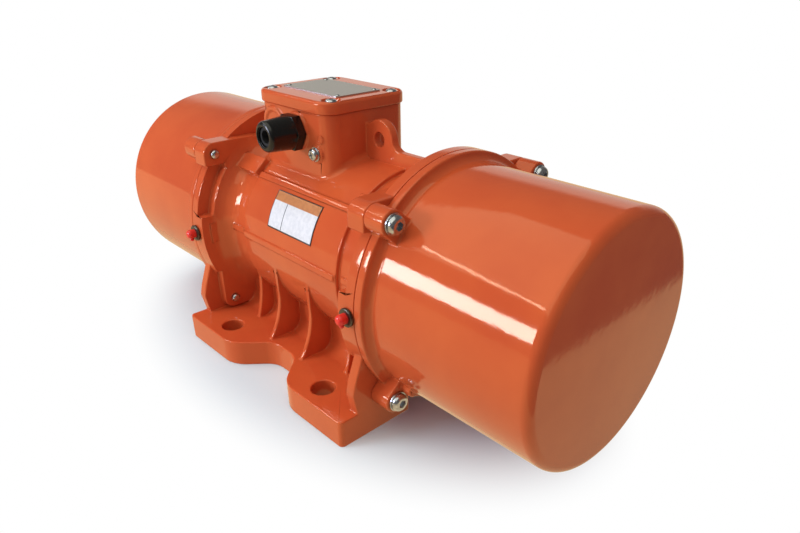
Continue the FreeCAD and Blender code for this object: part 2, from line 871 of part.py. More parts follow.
# holes: feet, cover screws, bearing flange screws and grease nipples
sketch = new_sketch(body, "XY_Plane", "foot_holes", 0, 0, s.foot_height)
for hand_x, hand_y in QUADRANTS:
    circle(sketch, hand_x * s.foot_hole_x, hand_y * s.foot_hole_y, s.foot_hole_radius)
extrude(body, "Pocket", sketch, s.foot_height)
for side in SIDES:
    slab(body, "Pocket", side_name("ear_holes", side), at_ears(s.cover_screw_radius), side,
         s.flange_inner, s.body_half_length)
    sketch = new_sketch(body, "YZ_Plane", side_name("flange_screw_holes", side), 0,
                        s.axis_height, side * recess_start)
    around(sketch, "flange_screw_count", s.flange_screw_pitch_radius, s.flange_screw_radius)
    extrude(body, "Pocket", sketch, s.flange_screw_length - s.end_recess_depth + 0.5,
            reverse=side < 0)
sketch = new_sketch(body, "XZ_Plane", "nipple_holes", 0, s.axis_height, s.nipple_block_front)
for side in SIDES:
    circle(sketch, side * s.nipple_x, 0, s.nipple_stem_radius)
extrude(body, "Pocket", sketch, s.nipple_stem_length)
finish(body)


# ---------------------------------------------------------------- stator and rotor

body = new_body("stator_core")
core = s.core_half_length
ring(body, "packet", -core, core, s.stator_inner_radius, s.stator_bore_radius - s.fit_gap)


def draw_slot(play):
    """One slot: a narrow mouth at the bore opening into a straight-sided pocket."""
    def draw(sketch):
        mouth = s.slot_mouth_width / 2
        half = s.slot_width / 2 - play
        neck = s.stator_inner_radius + s.slot_mouth_depth
        shoulder = neck + s.slot_mouth_depth + play
        outline(sketch, [
            (-half, shoulder), (-mouth, neck), (-mouth, s.stator_inner_radius - 1),
            (mouth, s.stator_inner_radius - 1), (mouth, neck), (half, shoulder),
            (half, s.slot_floor_radius - play), (-half, s.slot_floor_radius - play),
        ])
    return draw


sketch = new_sketch(body, "YZ_Plane", "slot", 0, s.axis_height, -core)
draw_slot(0)(sketch)
pattern(body, extrude(body, "Pocket", sketch, core * 2, reverse=True), sketch, s.slot_count)
finish(body)

body = new_body("stator_windings")
for side in SIDES:
    turn(body, "Revolution", side_name("coil_ends", side), turned(side, [
        (core, s.coil_inner_radius),
        (s.coil_half_length - s.coil_round, s.coil_inner_radius),
        Bend(s.coil_round, 1),
        (s.coil_half_length, s.coil_inner_radius + s.coil_round),
        (s.coil_half_length, s.coil_outer_radius - s.coil_round),
        Bend(s.coil_round, 1),
        (s.coil_half_length - s.coil_round, s.coil_outer_radius),
        (core, s.coil_outer_radius),
    ]))
sketch = new_sketch(body, "YZ_Plane", "coil_side", 0, s.axis_height, -core)
half = s.slot_width / 2 - s.fit_gap
box(sketch, -half, half, s.coil_inner_radius + 1, s.slot_floor_radius - s.fit_gap)
pattern(body, extrude(body, "Pad", sketch, core * 2), sketch, s.slot_count)
finish(body)

body = new_body("rotor_core")
rotor_radius = s.stator_inner_radius - s.air_gap
ring(body, "packet", -core, core, s.shaft_middle_radius + s.fit_gap, rotor_radius)
finish(body)

body = new_body("rotor_end_rings")
for side in SIDES:
    corners = [
        (core, s.shaft_middle_radius + s.fit_gap),
        (s.end_ring_end, s.shaft_middle_radius + s.fit_gap),
        (s.end_ring_end, s.end_ring_radius),
        (core, s.end_ring_radius),
    ]
    turn(body, "Revolution", side_name("end_ring", side), turned(side, corners))
finish(body)

# stations along one half of the shaft
bearing_end = s.bearing_start + s.bearing_width
fixed_end = s.sleeve_end + s.fixed_weight_width
adjustable_start = fixed_end + s.weight_gap
adjustable_end = adjustable_start + s.adjustable_weight_width
washer_end = adjustable_end + s.washer_thickness + 0.3
ring_end = washer_end + s.ring_thickness

body = new_body("shaft")
half_profile = [
    (s.shaft_middle_half, s.shaft_middle_radius),
    (s.shaft_middle_half, s.shaft_shoulder_radius),
    (s.bearing_start, s.shaft_shoulder_radius),
    (s.bearing_start, s.bearing_bore_radius),
    (s.sleeve_end, s.bearing_bore_radius),
    (s.sleeve_end, s.shaft_end_radius),
    (washer_end, s.shaft_end_radius),
    (washer_end, s.ring_groove_radius),
    (ring_end, s.ring_groove_radius),
    (ring_end, s.shaft_end_radius),
    (s.shaft_half_length - s.shaft_chamfer, s.shaft_end_radius),
    (s.shaft_half_length, s.shaft_end_radius - s.shaft_chamfer),
    (s.shaft_half_length, 0),
]
turn(body, "Revolution", "steps", turned(-1, half_profile)[::-1] + half_profile)
for side in SIDES:
    sketch = new_sketch(body, "XY_Plane", side_name("keyway", side), 0, 0,
                        s.axis_height + s.shaft_end_radius + 1)
    middle = s.sleeve_end + s.fixed_weight_width / 2
    box(sketch, side * (middle - s.key_length / 2), side * (middle + s.key_length / 2),
        -s.key_width / 2, s.key_width / 2)
    extrude(body, "Pocket", sketch, s.key_sunk + 1)
finish(body)


def draw_weight(keyed):
    """Round hub with a heavy sector hanging below it."""
    def draw(sketch):
        swing, reach = sine(s.lobe_half_angle), cosine(s.lobe_half_angle)
        hub, lobe = s.hub_radius, s.lobe_radius
        outline(sketch, [
            (-lobe * swing, -lobe * reach),
            Bend(lobe, 1),
            (0, -lobe),
            Bend(lobe, 1),
            (lobe * swing, -lobe * reach),
            (hub * swing, -hub * reach),
            Bend(hub, 1),
            (hub, 0),
            Bend(hub, 1),
            (0, hub),
            Bend(hub, 1),
            (-hub, 0),
            Bend(hub, 1),
            (-hub * swing, -hub * reach),
        ])
    return draw


for side in SIDES:
    # fixed weight, keyed to the shaft
    body = new_body(side_name("fixed_weight", side))
    slab(body, "Pad", side_name("fixed_weight_plate", side), draw_weight(True), side,
         s.sleeve_end, fixed_end)
    slab(body, "Pocket", side_name("fixed_weight_bore", side),
         lambda sketch: circle(sketch, 0, 0, s.shaft_end_radius + s.sleeve_gap), side,
         s.sleeve_end, fixed_end)
    key_top = s.shaft_end_radius - s.key_sunk + s.key_height
    slab(body, "Pocket", side_name("fixed_weight_keyway", side),
         lambda sketch: box(sketch, -s.key_width / 2, s.key_width / 2, 0, key_top), side,
         s.sleeve_end, fixed_end)
    finish(body)

    body = new_body(side_name("shaft_key", side))
    sketch = new_sketch(body, "XY_Plane", side_name("key_plan", side), 0, 0,
                        s.axis_height + s.shaft_end_radius - s.key_sunk)
    box(sketch, side * (middle - s.key_length / 2), side * (middle + s.key_length / 2),
        -s.key_width / 2, s.key_width / 2)
    extrude(body, "Pad", sketch, s.key_height)
    finish(body)

    # adjustable weight with a slit hub and a clamp screw across it
    body = new_body(side_name("adjustable_weight", side))
    slab(body, "Pad", side_name("adjustable_plate", side), draw_weight(False), side,
         adjustable_start, adjustable_end)
    slab(body, "Pad", side_name("clamp_ears", side),
         lambda sketch: box(sketch, -s.clamp_ear_half_width, s.clamp_ear_half_width,
                            s.shaft_end_radius + 2, s.clamp_ear_top),
         side, adjustable_start + 10, adjustable_end - 10)
    slab(body, "Pocket", side_name("adjustable_bore", side),
         lambda sketch: circle(sketch, 0, 0, s.shaft_end_radius + s.sleeve_gap), side,
         adjustable_start, adjustable_end)
    slab(body, "Pocket", side_name("clamp_slit", side),
         lambda sketch: box(sketch, -s.clamp_slit / 2, s.clamp_slit / 2, 0,
                            s.clamp_ear_top + 1), side, adjustable_start, adjustable_end)
    clamp_x = adjustable_start + s.adjustable_weight_width / 2
    clamp_z = s.axis_height + s.clamp_height
    sketch = new_sketch(body, "XZ_Plane", side_name("clamp_hole", side), side * clamp_x,
                        clamp_z, -s.hub_radius)
    circle(sketch, 0, 0, s.clamp_screw_radius + s.fit_gap)
    extrude(body, "Pocket", sketch, s.hub_radius * 2, reverse=True)
    finish(body)

    body = new_body(side_name("clamp_screw", side))
    sketch = new_sketch(body, "XZ_Plane", side_name("clamp_shank", side), side * clamp_x,
                        clamp_z, -s.clamp_ear_half_width)
    circle(sketch, 0, 0, s.clamp_screw_radius)
    extrude(body, "Pad", sketch, s.clamp_ear_half_width * 2)
    sketch = new_sketch(body, "XZ_Plane", side_name("clamp_head", side), side * clamp_x,
                        clamp_z, s.clamp_ear_half_width)
    circle(sketch, 0, 0, s.clamp_head_radius)
    extrude(body, "Pad", sketch, s.clamp_head_height)
    finish(body)

    # parts turned about the shaft, from the bearing outwards
    simple_rings = [
        ("spacer_sleeve", bearing_end, s.sleeve_end, s.bearing_bore_radius + s.sleeve_gap,
         s.shaft_middle_radius),
        ("end_washer", adjustable_end + 0.3, washer_end, s.shaft_end_radius + s.sleeve_gap,
         s.washer_radius),
        ("retaining_ring", washer_end, ring_end, s.ring_groove_radius + s.sleeve_gap,
         s.ring_radius),
        ("shaft_seal", s.seal_start, s.body_half_length,
         s.shaft_middle_radius + s.seal_lip_gap, s.seal_radius - s.fit_gap),
        ("inner_bearing_cover", s.inner_cover_start, s.bearing_start,
         s.inner_cover_bore_radius, s.inner_cover_radius),
        ("cover_seal", s.body_half_length, s.body_half_length + s.cover_seal_depth,
         s.cover_seal_inner + s.fit_gap, s.cover_seal_inner + s.cover_seal_width - s.fit_gap),
        ("bearing_inner_ring", s.bearing_start, bearing_end, s.bearing_bore_radius,
         s.roller_pitch_radius - s.roller_radius - s.roller_play),
        ("bearing_outer_ring", s.bearing_start, bearing_end,
         s.roller_pitch_radius + s.roller_radius + s.roller_play, s.bearing_outer_radius),
    ]
    for label, start, end, inner, outer in simple_rings:
        body = new_body(side_name(label, side))
        ring(body, side_name(f"{label}_profile", side), side * start, side * end, inner, outer)
        finish(body)

    # bearing flange: spigot into the casting, plate in its end recess, seat for the bearing
    body = new_body(side_name("bearing_flange", side))
    seat = s.bearing_outer_radius
    turn(body, "Revolution", side_name("flange_profile", side), turned(side, [
        (s.bearing_start, seat),
        (bearing_end, seat),
        (bearing_end, s.seal_radius),
        (s.body_half_length, s.seal_radius),
        (s.body_half_length, s.flange_plate_radius),
        (recess_start, s.flange_plate_radius),
        (recess_start, s.spigot_radius - s.fit_gap),
        (s.bearing_start, s.spigot_radius - s.fit_gap),
    ]))
    sketch = new_sketch(body, "YZ_Plane", side_name("flange_holes", side), 0, s.axis_height,
                        side * s.body_half_length)
    around(sketch, "flange_screw_count", s.flange_screw_pitch_radius,
           s.flange_screw_radius + s.fit_gap)
    extrude(body, "Pocket", sketch, s.end_recess_depth, reverse=side < 0)
    finish(body)

    body = new_body(side_name("bearing_flange_screws", side))
    sketch = new_sketch(body, "YZ_Plane", side_name("flange_screw_heads", side), 0,
                        s.axis_height, side * s.body_half_length)
    around(sketch, "flange_screw_count", s.flange_screw_pitch_radius,
           s.flange_screw_head_radius)
    extrude(body, "Pad", sketch, s.flange_screw_head_height, reverse=side < 0)
    sketch = new_sketch(body, "YZ_Plane", side_name("flange_screw_shanks", side), 0,
                        s.axis_height, side * s.body_half_length)
    around(sketch, "flange_screw_count", s.flange_screw_pitch_radius, s.flange_screw_radius)
    extrude(body, "Pad", sketch, s.flange_screw_length, reverse=side > 0)
    finish(body)

    # rollers held by a cage that is a ring with a pocket for each of them
    body = new_body(side_name("roller_cage", side))
    cage_start = s.bearing_start + (s.bearing_width - s.cage_length) / 2
    ring(body, side_name("cage_ring", side), side * cage_start,
         side * (cage_start + s.cage_length), s.cage_inner_radius, s.cage_outer_radius)
    roller_start = s.bearing_start + (s.bearing_width - s.roller_length) / 2
    sketch = new_sketch(body, "YZ_Plane", side_name("roller", side), 0, s.axis_height,
                        side * roller_start)
    circle(sketch, 0, s.roller_pitch_radius, s.roller_radius)
    roller = extrude(body, "Pad", sketch, s.roller_length, reverse=side < 0)
    pattern(body, roller, sketch, s.roller_count)
    finish(body)

    # cover over the weights: a cup with a stiff rim, an ear plate and a crown on top
    body = new_body(side_name("weight_cover", side))
    start, end, wall = s.body_half_length, s.cover_end, s.cover_wall
    inner = s.cover_radius - wall
    turn(body, "Revolution", side_name("cup", side), turned(side, [
        (end, 0),
        (end, s.cover_radius - s.cover_edge_round),
        Bend(s.cover_edge_round, 1),
        (end - s.cover_edge_round, s.cover_radius),
        (s.cover_rim_end + s.cover_rim_fillet, s.cover_radius),
        Bend(s.cover_rim_fillet, -1),
        (s.cover_rim_end, s.cover_radius + s.cover_rim_fillet),
        (start, s.cover_radius + s.cover_rim_fillet),
        (start, 0),
    ]))
    crown(body, side_name("cover_crown", side), [turned(side, [
        (start, inner),
        (s.cover_rim_end + s.crown_fillet, inner),
        (s.cover_rim_end + s.crown_fillet, s.cover_radius),
        Bend(s.crown_fillet, -1),
        (s.cover_rim_end, s.cover_radius + s.crown_fillet),
        Bend(s.crown_edge, 1),
        (s.cover_rim_end - s.crown_edge, s.crown_radius),
        (start, s.crown_radius),
    ])])
    slab(body, "Pad", side_name("cover_ears", side), draw_ears, side, start, s.cover_ear_end)

    # low rounded fairings that run from the ears on to the cup
    def draw_fairings(sketch):
        reach = s.fairing_centre / (s.ear_y * s.ear_y + s.ear_z * s.ear_z)
        for hand, lift in QUADRANTS:
            distance = math.hypot(SIZES["ear_y"], SIZES["ear_z"])
            circle(sketch, hand * s.ear_y * reach * distance, lift * s.ear_z * reach * distance,
                   s.fairing_radius)
    slab(body, "Pad", side_name("fairings", side), draw_fairings, side, s.cover_rim_end - 1,
         s.fairing_end)
    turn(body, "Groove", side_name("cup_bore", side), turned(side, [
        (start, 0),
        (start, inner),
        (end - s.cover_edge_round, inner),
        Bend(s.cover_edge_round - wall, -1),
        (end - wall, inner - s.cover_edge_round + wall),
        (end - wall, 0),
    ]))
    ring(body, side_name("seal_groove", side), side * start,
         side * (start + s.cover_seal_depth), s.cover_seal_inner,
         s.cover_seal_inner + s.cover_seal_width, kind="Groove")
    slab(body, "Pocket", side_name("cover_holes", side),
         at_ears(s.cover_screw_radius + s.cover_screw_play), side, start, s.cover_ear_end)
    finish(body)

    # screws and washers that hold the cover
    body = new_body(side_name("cover_washers", side))
    washer_out = s.cover_ear_end + s.cover_washer_thickness
    slab(body, "Pad", side_name("washer_discs", side), at_ears(s.cover_washer_radius), side,
         s.cover_ear_end, washer_out)
    slab(body, "Pocket", side_name("washer_holes", side),
         at_ears(s.cover_screw_radius + s.cover_screw_play), side, s.cover_ear_end, washer_out)
    finish(body)

    body = new_body(side_name("cover_screws", side))
    head_out = washer_out + s.cover_screw_head_height
    slab(body, "Pad", side_name("screw_shanks", side), at_ears(s.cover_screw_radius), side,
         s.cover_screw_tip, washer_out)
    slab(body, "Pad", side_name("screw_heads", side), at_ears(s.cover_screw_head_radius), side,
         washer_out, head_out)
    slab(body, "Pocket", side_name("screw_sockets", side),
         at_ears(s.cover_screw_socket_radius), side, head_out - s.cover_screw_head_height / 2,
         head_out)
    finish(body)

    # grease nipple and its cap, both pointing out of the front
    body = new_body(side_name("grease_nipple", side))
    front = s.nipple_block_front
    sketch = new_sketch(body, "XZ_Plane", side_name("nipple_collar", side), side * s.nipple_x,
                        s.axis_height, front)
    circle(sketch, 0, 0, s.nipple_radius)
    extrude(body, "Pad", sketch, s.nipple_length)
    sketch = new_sketch(body, "XZ_Plane", side_name("nipple_stem", side), side * s.nipple_x,
                        s.axis_height, front - s.nipple_stem_length)
    circle(sketch, 0, 0, s.nipple_stem_radius)
    extrude(body, "Pad", sketch, s.nipple_stem_length + s.nipple_length)
    sketch = new_sketch(body, "XZ_Plane", side_name("nipple_tip", side), side * s.nipple_x,
                        s.axis_height, front)
    circle(sketch, 0, 0, s.nipple_tip_radius)
    extrude(body, "Pad", sketch, s.nipple_length + s.nipple_tip_length)
    finish(body)

    body = new_body(side_name("grease_cap", side))
    cap_start = front + s.nipple_length
    sketch = new_sketch(body, "XZ_Plane", side_name("cap_shell", side), side * s.nipple_x,
                        s.axis_height, cap_start)
    circle(sketch, 0, 0, s.cap_radius)
    extrude(body, "Pad", sketch, s.cap_length)
    sketch = new_sketch(body, "XZ_Plane", side_name("cap_strap", side), side * s.nipple_x,
                        s.axis_height - s.cap_radius - s.cap_ball_radius / 2, cap_start)
    circle(sketch, 0, 0, s.cap_ball_radius)
    extrude(body, "Pad", sketch, s.cap_ball_radius * 2)
    sketch = new_sketch(body, "XZ_Plane", side_name("cap_bore", side), side * s.nipple_x,
                        s.axis_height, cap_start)
    circle(sketch, 0, 0, s.cap_bore_radius)
    extrude(body, "Pocket", sketch, s.nipple_tip_length + s.cap_ball_radius / 4, reverse=True)
    finish(body)


# ---------------------------------------------------------------- terminal box parts

body = new_body("terminal_box_lid")
sketch = new_sketch(body, "XY_Plane", "lid_plan", s.box_x, 0, lid_under)
round_box(sketch, s.lid_half_x, s.lid_half_y, s.lid_corner)
extrude(body, "Pad", sketch, s.lid_thickness)
doc.recompute()
top_edges = [
    f"Edge{index + 1}" for index, edge in enumerate(body.Shape.Edges)
    if edge.BoundBox.ZMin > SIZES["lid_top"] - 0.01
]
rounding = body.newObject("PartDesign::Fillet", "lid_edge")
rounding.Base = (body.Group[-2], top_edges)
rounding.Radius = bind(rounding, "Radius", s.lid_edge_round)
gasket_x = wall_x - s.gasket_inset
gasket_y = wall_y - s.gasket_inset
gasket_corner = wall_corner - s.gasket_inset


def draw_gasket(sketch):
    round_box(sketch, gasket_x, gasket_y, gasket_corner)
    round_box(sketch, gasket_x - s.gasket_width, gasket_y - s.gasket_width,
              gasket_corner - s.gasket_width)


sketch = new_sketch(body, "XY_Plane", "gasket_groove", s.box_x, 0, lid_under)
draw_gasket(sketch)
extrude(body, "Pocket", sketch, s.gasket_thickness, reverse=True)
recess_floor = s.lid_top - s.lid_recess_depth
sketch = new_sketch(body, "XY_Plane", "lid_recesses", s.box_x, 0, s.lid_top)
for hand_x, hand_y in QUADRANTS:
    circle(sketch, hand_x * s.lid_screw_x, hand_y * s.lid_screw_y, s.lid_recess_radius)
extrude(body, "Pocket", sketch, s.lid_recess_depth)
sketch = new_sketch(body, "XY_Plane", "lid_holes", s.box_x, 0, s.lid_top)
for hand_x, hand_y in QUADRANTS:
    circle(sketch, hand_x * s.lid_screw_x, hand_y * s.lid_screw_y,
           s.lid_screw_radius + s.cover_screw_play)
extrude(body, "Pocket", sketch, s.lid_thickness)
sketch = new_sketch(body, "XY_Plane", "rivet_holes", s.box_x, 0, s.lid_top)
for hand_x, hand_y in QUADRANTS:
    circle(sketch, hand_x * s.rivet_x, hand_y * s.rivet_y, s.rivet_shank_radius)
extrude(body, "Pocket", sketch, s.rivet_shank_length)
finish(body)

body = new_body("lid_gasket")
sketch = new_sketch(body, "XY_Plane", "gasket_plan", s.box_x, 0, lid_under)
draw_gasket(sketch)
extrude(body, "Pad", sketch, s.gasket_thickness)
finish(body)

body = new_body("lid_screws")
for name, start, radius, length in (
    ("lid_screw_heads", recess_floor, s.lid_screw_head_radius, s.lid_screw_head_height),
    ("lid_screw_shanks", recess_floor - s.lid_screw_length, s.lid_screw_radius,
     s.lid_screw_length),
):
    sketch = new_sketch(body, "XY_Plane", name, s.box_x, 0, start)
    for hand_x, hand_y in QUADRANTS:
        circle(sketch, hand_x * s.lid_screw_x, hand_y * s.lid_screw_y, radius)
    extrude(body, "Pad", sketch, length)
finish(body)

body = new_body("nameplate")
sketch = new_sketch(body, "XY_Plane", "nameplate_plan", s.box_x, 0, s.lid_top)
round_box(sketch, s.plate_half_x, s.plate_half_y, s.plate_corner)
for hand_x, hand_y in QUADRANTS:
    circle(sketch, hand_x * s.rivet_x, hand_y * s.rivet_y, s.rivet_shank_radius)
extrude(body, "Pad", sketch, s.plate_thickness)
finish(body)

body = new_body("nameplate_rivets")
plate_top = s.lid_top + s.plate_thickness
for name, start, radius, length in (
    ("rivet_heads", plate_top, s.rivet_radius, s.rivet_height),
    ("rivet_shanks", s.lid_top - s.rivet_shank_length, s.rivet_shank_radius,
     s.rivet_shank_length + s.plate_thickness),
):
    sketch = new_sketch(body, "XY_Plane", name, s.box_x, 0, start)
    for hand_x, hand_y in QUADRANTS:
        circle(sketch, hand_x * s.rivet_x, hand_y * s.rivet_y, radius)
    extrude(body, "Pad", sketch, length)
finish(body)

# terminal block with six studs in two rows, joined in pairs by flat links
body = new_body("terminal_block")
sketch = new_sketch(body, "XY_Plane", "block_plan", s.box_x, 0, s.box_floor)
centre_y = s.cable_duct_radius + s.terminal_half_y + 2
box(sketch, -s.terminal_half_x, s.terminal_half_x, centre_y - s.terminal_half_y,
    centre_y + s.terminal_half_y)
extrude(body, "Pad", sketch, s.terminal_height)
block_top = s.box_floor + s.terminal_height
sketch = new_sketch(body, "XY_Plane", "stud_holes", s.box_x, 0, block_top)
for column in (-1, 0, 1):
    for row_side in SIDES:
        circle(sketch, column * s.stud_pitch, centre_y + row_side * s.stud_row, s.stud_radius)
extrude(body, "Pocket", sketch, s.terminal_height / 2)
finish(body)

body = new_body("terminal_studs")
sketch = new_sketch(body, "XY_Plane", "stud_plan", s.box_x, 0, block_top - s.terminal_height / 2)
for column in (-1, 0, 1):
    for row_side in SIDES:
        circle(sketch, column * s.stud_pitch, centre_y + row_side * s.stud_row, s.stud_radius)
extrude(body, "Pad", sketch, s.terminal_height / 2 + s.stud_top)
sketch = new_sketch(body, "XY_Plane", "link_plan", s.box_x, 0, block_top)
for column in (-1, 0, 1):
    box(sketch, column * s.stud_pitch - s.link_width / 2, column * s.stud_pitch + s.link_width / 2,
        centre_y - s.stud_row - s.link_width / 2, centre_y + s.stud_row + s.link_width / 2)
extrude(body, "Pad", sketch, s.link_thickness)
finish(body)


# ---------------------------------------------------------------- cable gland

def along_gland(body, name, start, length, draw, kind="Pad"):
    """Extrudes draw(sketch) on the gland axis, starting a distance in front of the middle."""
    sketch = new_sketch(body, "XZ_Plane", name, s.gland_x, s.entry_height, start)
    draw(sketch)
    return extrude(body, kind, sketch, length)


hex_front = s.entry_front_y + s.gland_hex_length
collar_front = hex_front + s.gland_collar_length
dome_front = hex_front + s.dome_length
stub_start = s.entry_front_y - s.gland_thread_length
body = new_body("gland_body")
along_gland(body, "gland_hexagon", s.entry_front_y, s.gland_hex_length,
            lambda sketch: hexagon(sketch, s.gland_hex_flats))
along_gland(body, "gland_stub", stub_start, s.gland_thread_length,
            lambda sketch: circle(sketch, 0, 0, s.gland_thread_radius))
along_gland(body, "gland_collar", hex_front, s.gland_collar_length,
            lambda sketch: circle(sketch, 0, 0, s.gland_collar_radius - 1))
along_gland(body, "gland_bore", collar_front, s.gland_thread_length + s.gland_hex_length
            + s.gland_collar_length, lambda sketch: circle(sketch, 0, 0, s.gland_bore_radius),
            "Pocket")
finish(body)


def turn_gland(body, kind, name, corners):
    """Turns a profile of (distance in front of the middle, radius) about the gland axis."""
    sketch = new_sketch(body, "YZ_Plane", name, 0, s.entry_height, s.gland_x)
    mirrored = []
    for item in corners:
        mirrored.append(Bend(item.radius, -item.turn) if isinstance(item, Bend)
                        else (-item[0], item[1]))
    outline(sketch, mirrored)
    feature = body.newObject(f"PartDesign::{kind}", f"{kind}_{name}")
    feature.Profile = sketch
    feature.ReferenceAxis = (sketch, ["H_Axis"])
    feature.Angle = 360
    feature.Refine = False
    return feature


body = new_body("gland_dome_nut")
dome_round = s.dome_radius - s.dome_end_radius
turn_gland(body, "Revolution", "dome", [
    (hex_front, s.gland_collar_radius - 1 + s.fit_gap),
    (collar_front, s.gland_collar_radius - 1 + s.fit_gap),
    (collar_front + 4, s.dome_mouth_radius),
    (dome_front, s.dome_mouth_radius),
    (dome_front, s.dome_end_radius),
    Bend(dome_round, 1),
    (dome_front - dome_round, s.dome_radius),
    (hex_front, s.dome_radius),
])
finish(body)

body = new_body("gland_seal")
turn_gland(body, "Revolution", "seal", [
    (collar_front + 4, s.seal_hole_radius),
    (dome_front - 2, s.seal_hole_radius),
    (dome_front - 2, s.dome_mouth_radius - s.fit_gap),
    (collar_front + 4, s.dome_mouth_radius - s.fit_gap),
])
finish(body)

body = new_body("gland_locknut")
inner_wall = wall_y - s.box_wall
along_gland(body, "locknut", inner_wall - s.locknut_thickness, s.locknut_thickness,
            lambda sketch: hexagon(sketch, s.locknut_flats))
along_gland(body, "locknut_bore", inner_wall, s.locknut_thickness,
            lambda sketch: circle(sketch, 0, 0, s.gland_thread_radius + s.sleeve_gap), "Pocket")
finish(body)


# ---------------------------------------------------------------- earth screw and label

def along_earth(body, name, start, length, radius, kind="Pad"):
    sketch = new_sketch(body, "XZ_Plane", name, s.earth_x, s.earth_z, start)
    circle(sketch, 0, 0, radius)
    return extrude(body, kind, sketch, length)


body = new_body("earth_washer")
washer_front = earth_face + s.earth_washer_thickness
along_earth(body, "earth_disc", earth_face, s.earth_washer_thickness, s.earth_washer_radius)
along_earth(body, "earth_disc_hole", washer_front, s.earth_washer_thickness,
            s.earth_thread_radius + s.fit_gap, "Pocket")
finish(body)

body = new_body("earth_screw")
along_earth(body, "earth_head", washer_front, s.earth_head_height, s.earth_head_radius)
along_earth(body, "earth_shank", earth_face - s.earth_thread_length,
            s.earth_thread_length + s.earth_washer_thickness, s.earth_thread_radius)
finish(body)

# blank label plate bent to the barrel
body = new_body("label_plate")
sketch = new_sketch(body, "YZ_Plane", "label_section", 0, s.axis_height, s.label_left)
label_outer = s.barrel_radius + s.label_thickness
low, high = s.label_low_angle, s.label_high_angle
outline(sketch, [
    polar_point(s.barrel_radius, low, 0, -1),
    polar_point(label_outer, low, 0, -1),
    Bend(label_outer, -1),
    polar_point(label_outer, high, 0, -1),
    polar_point(s.barrel_radius, high, 0, -1),
    Bend(s.barrel_radius, 1),
])
extrude(body, "Pad", sketch, s.label_right - s.label_left)
finish(body)


# ---------------------------------------------------------------- check and export

doc.recompute()
for item in doc.Objects:
    if "Invalid" in item.State or "Error" in item.State:
        raise RuntimeError(f"{item.Label} failed: {item.State}")

os.makedirs("parts", exist_ok=True)
for body in doc.Objects:
    if body.TypeId != "PartDesign::Body":
        continue
    if body.Shape.isNull() or not body.Shape.isValid() or not body.Shape.Solids:
        raise RuntimeError(f"{body.Label} has no valid shape")
    body.Shape.exportStep(f"parts/{body.Label}.step")
    print(body.Label, len(body.Shape.Solids), round(body.Shape.Volume))
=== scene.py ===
# %% [markdown]
# # A vibration motor, dressed for its portrait
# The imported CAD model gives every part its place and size. This file gives each part its
# skin: rounded casting edges, real screw heads, a tapered cable gland, a label in plain
# colours and the finishes of enamel, zinc, nylon and rubber. Everything is in metres, X runs
# along the shaft, Z is up, and the cable gland looks towards -Y.

# %% Load the frame
import json
import math

import bmesh
import bpy
from mathutils import Matrix, Vector


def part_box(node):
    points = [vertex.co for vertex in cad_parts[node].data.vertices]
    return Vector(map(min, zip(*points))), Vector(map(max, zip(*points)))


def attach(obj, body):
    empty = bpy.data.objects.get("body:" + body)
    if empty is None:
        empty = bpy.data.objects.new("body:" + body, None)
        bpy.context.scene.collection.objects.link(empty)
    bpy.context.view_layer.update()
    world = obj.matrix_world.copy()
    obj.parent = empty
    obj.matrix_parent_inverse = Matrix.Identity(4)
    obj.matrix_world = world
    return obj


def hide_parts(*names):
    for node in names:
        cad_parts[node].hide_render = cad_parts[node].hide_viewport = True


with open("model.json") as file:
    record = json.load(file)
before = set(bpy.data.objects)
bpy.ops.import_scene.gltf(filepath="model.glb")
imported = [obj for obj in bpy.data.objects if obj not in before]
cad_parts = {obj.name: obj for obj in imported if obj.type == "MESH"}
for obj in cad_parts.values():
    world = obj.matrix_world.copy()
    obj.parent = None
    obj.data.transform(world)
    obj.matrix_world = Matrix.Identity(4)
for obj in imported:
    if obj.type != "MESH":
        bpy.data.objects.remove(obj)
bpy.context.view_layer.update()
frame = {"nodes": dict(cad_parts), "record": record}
nodes = frame["nodes"]
MM = 0.001

# %% [markdown]
# ## Camera
# The motor is seen from its front right corner, a little above. A small lens shift places
# it in the frame without turning the camera, which would change the perspective.

# %% Camera
heading = math.radians(45.2)
height_angle = math.radians(27.1)
lean = math.radians(0.2)
camera_spot = Vector((0.3709, -0.2938, 0.2839))
backward = Vector((
    math.sin(heading) * math.cos(height_angle),
    -math.cos(heading) * math.cos(height_angle),
    math.sin(height_angle),
))
sideways = Vector((math.cos(heading), math.sin(heading), 0))
upward = backward.cross(sideways)
right = sideways * math.cos(lean) + upward * math.sin(lean)
top = upward * math.cos(lean) - sideways * math.sin(lean)

lens = bpy.data.cameras.new("camera")
lens.sensor_width = 36
lens.lens = 29.3
lens.shift_x = -0.0334
lens.shift_y = 0.0289
lens.clip_start = 0.01
camera = bpy.data.objects.new("camera", lens)
bpy.context.scene.collection.objects.link(camera)
camera.matrix_world = Matrix.Translation(camera_spot) @ Matrix((
    (right.x, top.x, backward.x),
    (right.y, top.y, backward.y),
    (right.z, top.z, backward.z),
)).to_4x4()
bpy.context.scene.camera = camera
print("camera at", tuple(round(v, 4) for v in camera.location))

# %% [markdown]
# ## Light
# Gloss enamel is a mirror for whatever stands around it, so the room matters as much as the
# lamps. A wide overhead box gives the plain light, a low window box at the front left gives
# the one bright highlight that runs along barrel and covers, and a thin tube above it draws
# the fine line. Sizes and distances are those of a small studio table.

# %% Soft boxes
def place_at(turn, lift, distance):
    """A place seen from the motor: turn from the front (-Y) towards +X, lift from the floor."""
    turn, lift = math.radians(turn), math.radians(lift)
    return Vector((
        math.sin(turn) * math.cos(lift) * distance,
        -math.cos(turn) * math.cos(lift) * distance,
        0.1 + math.sin(lift) * distance,
    ))


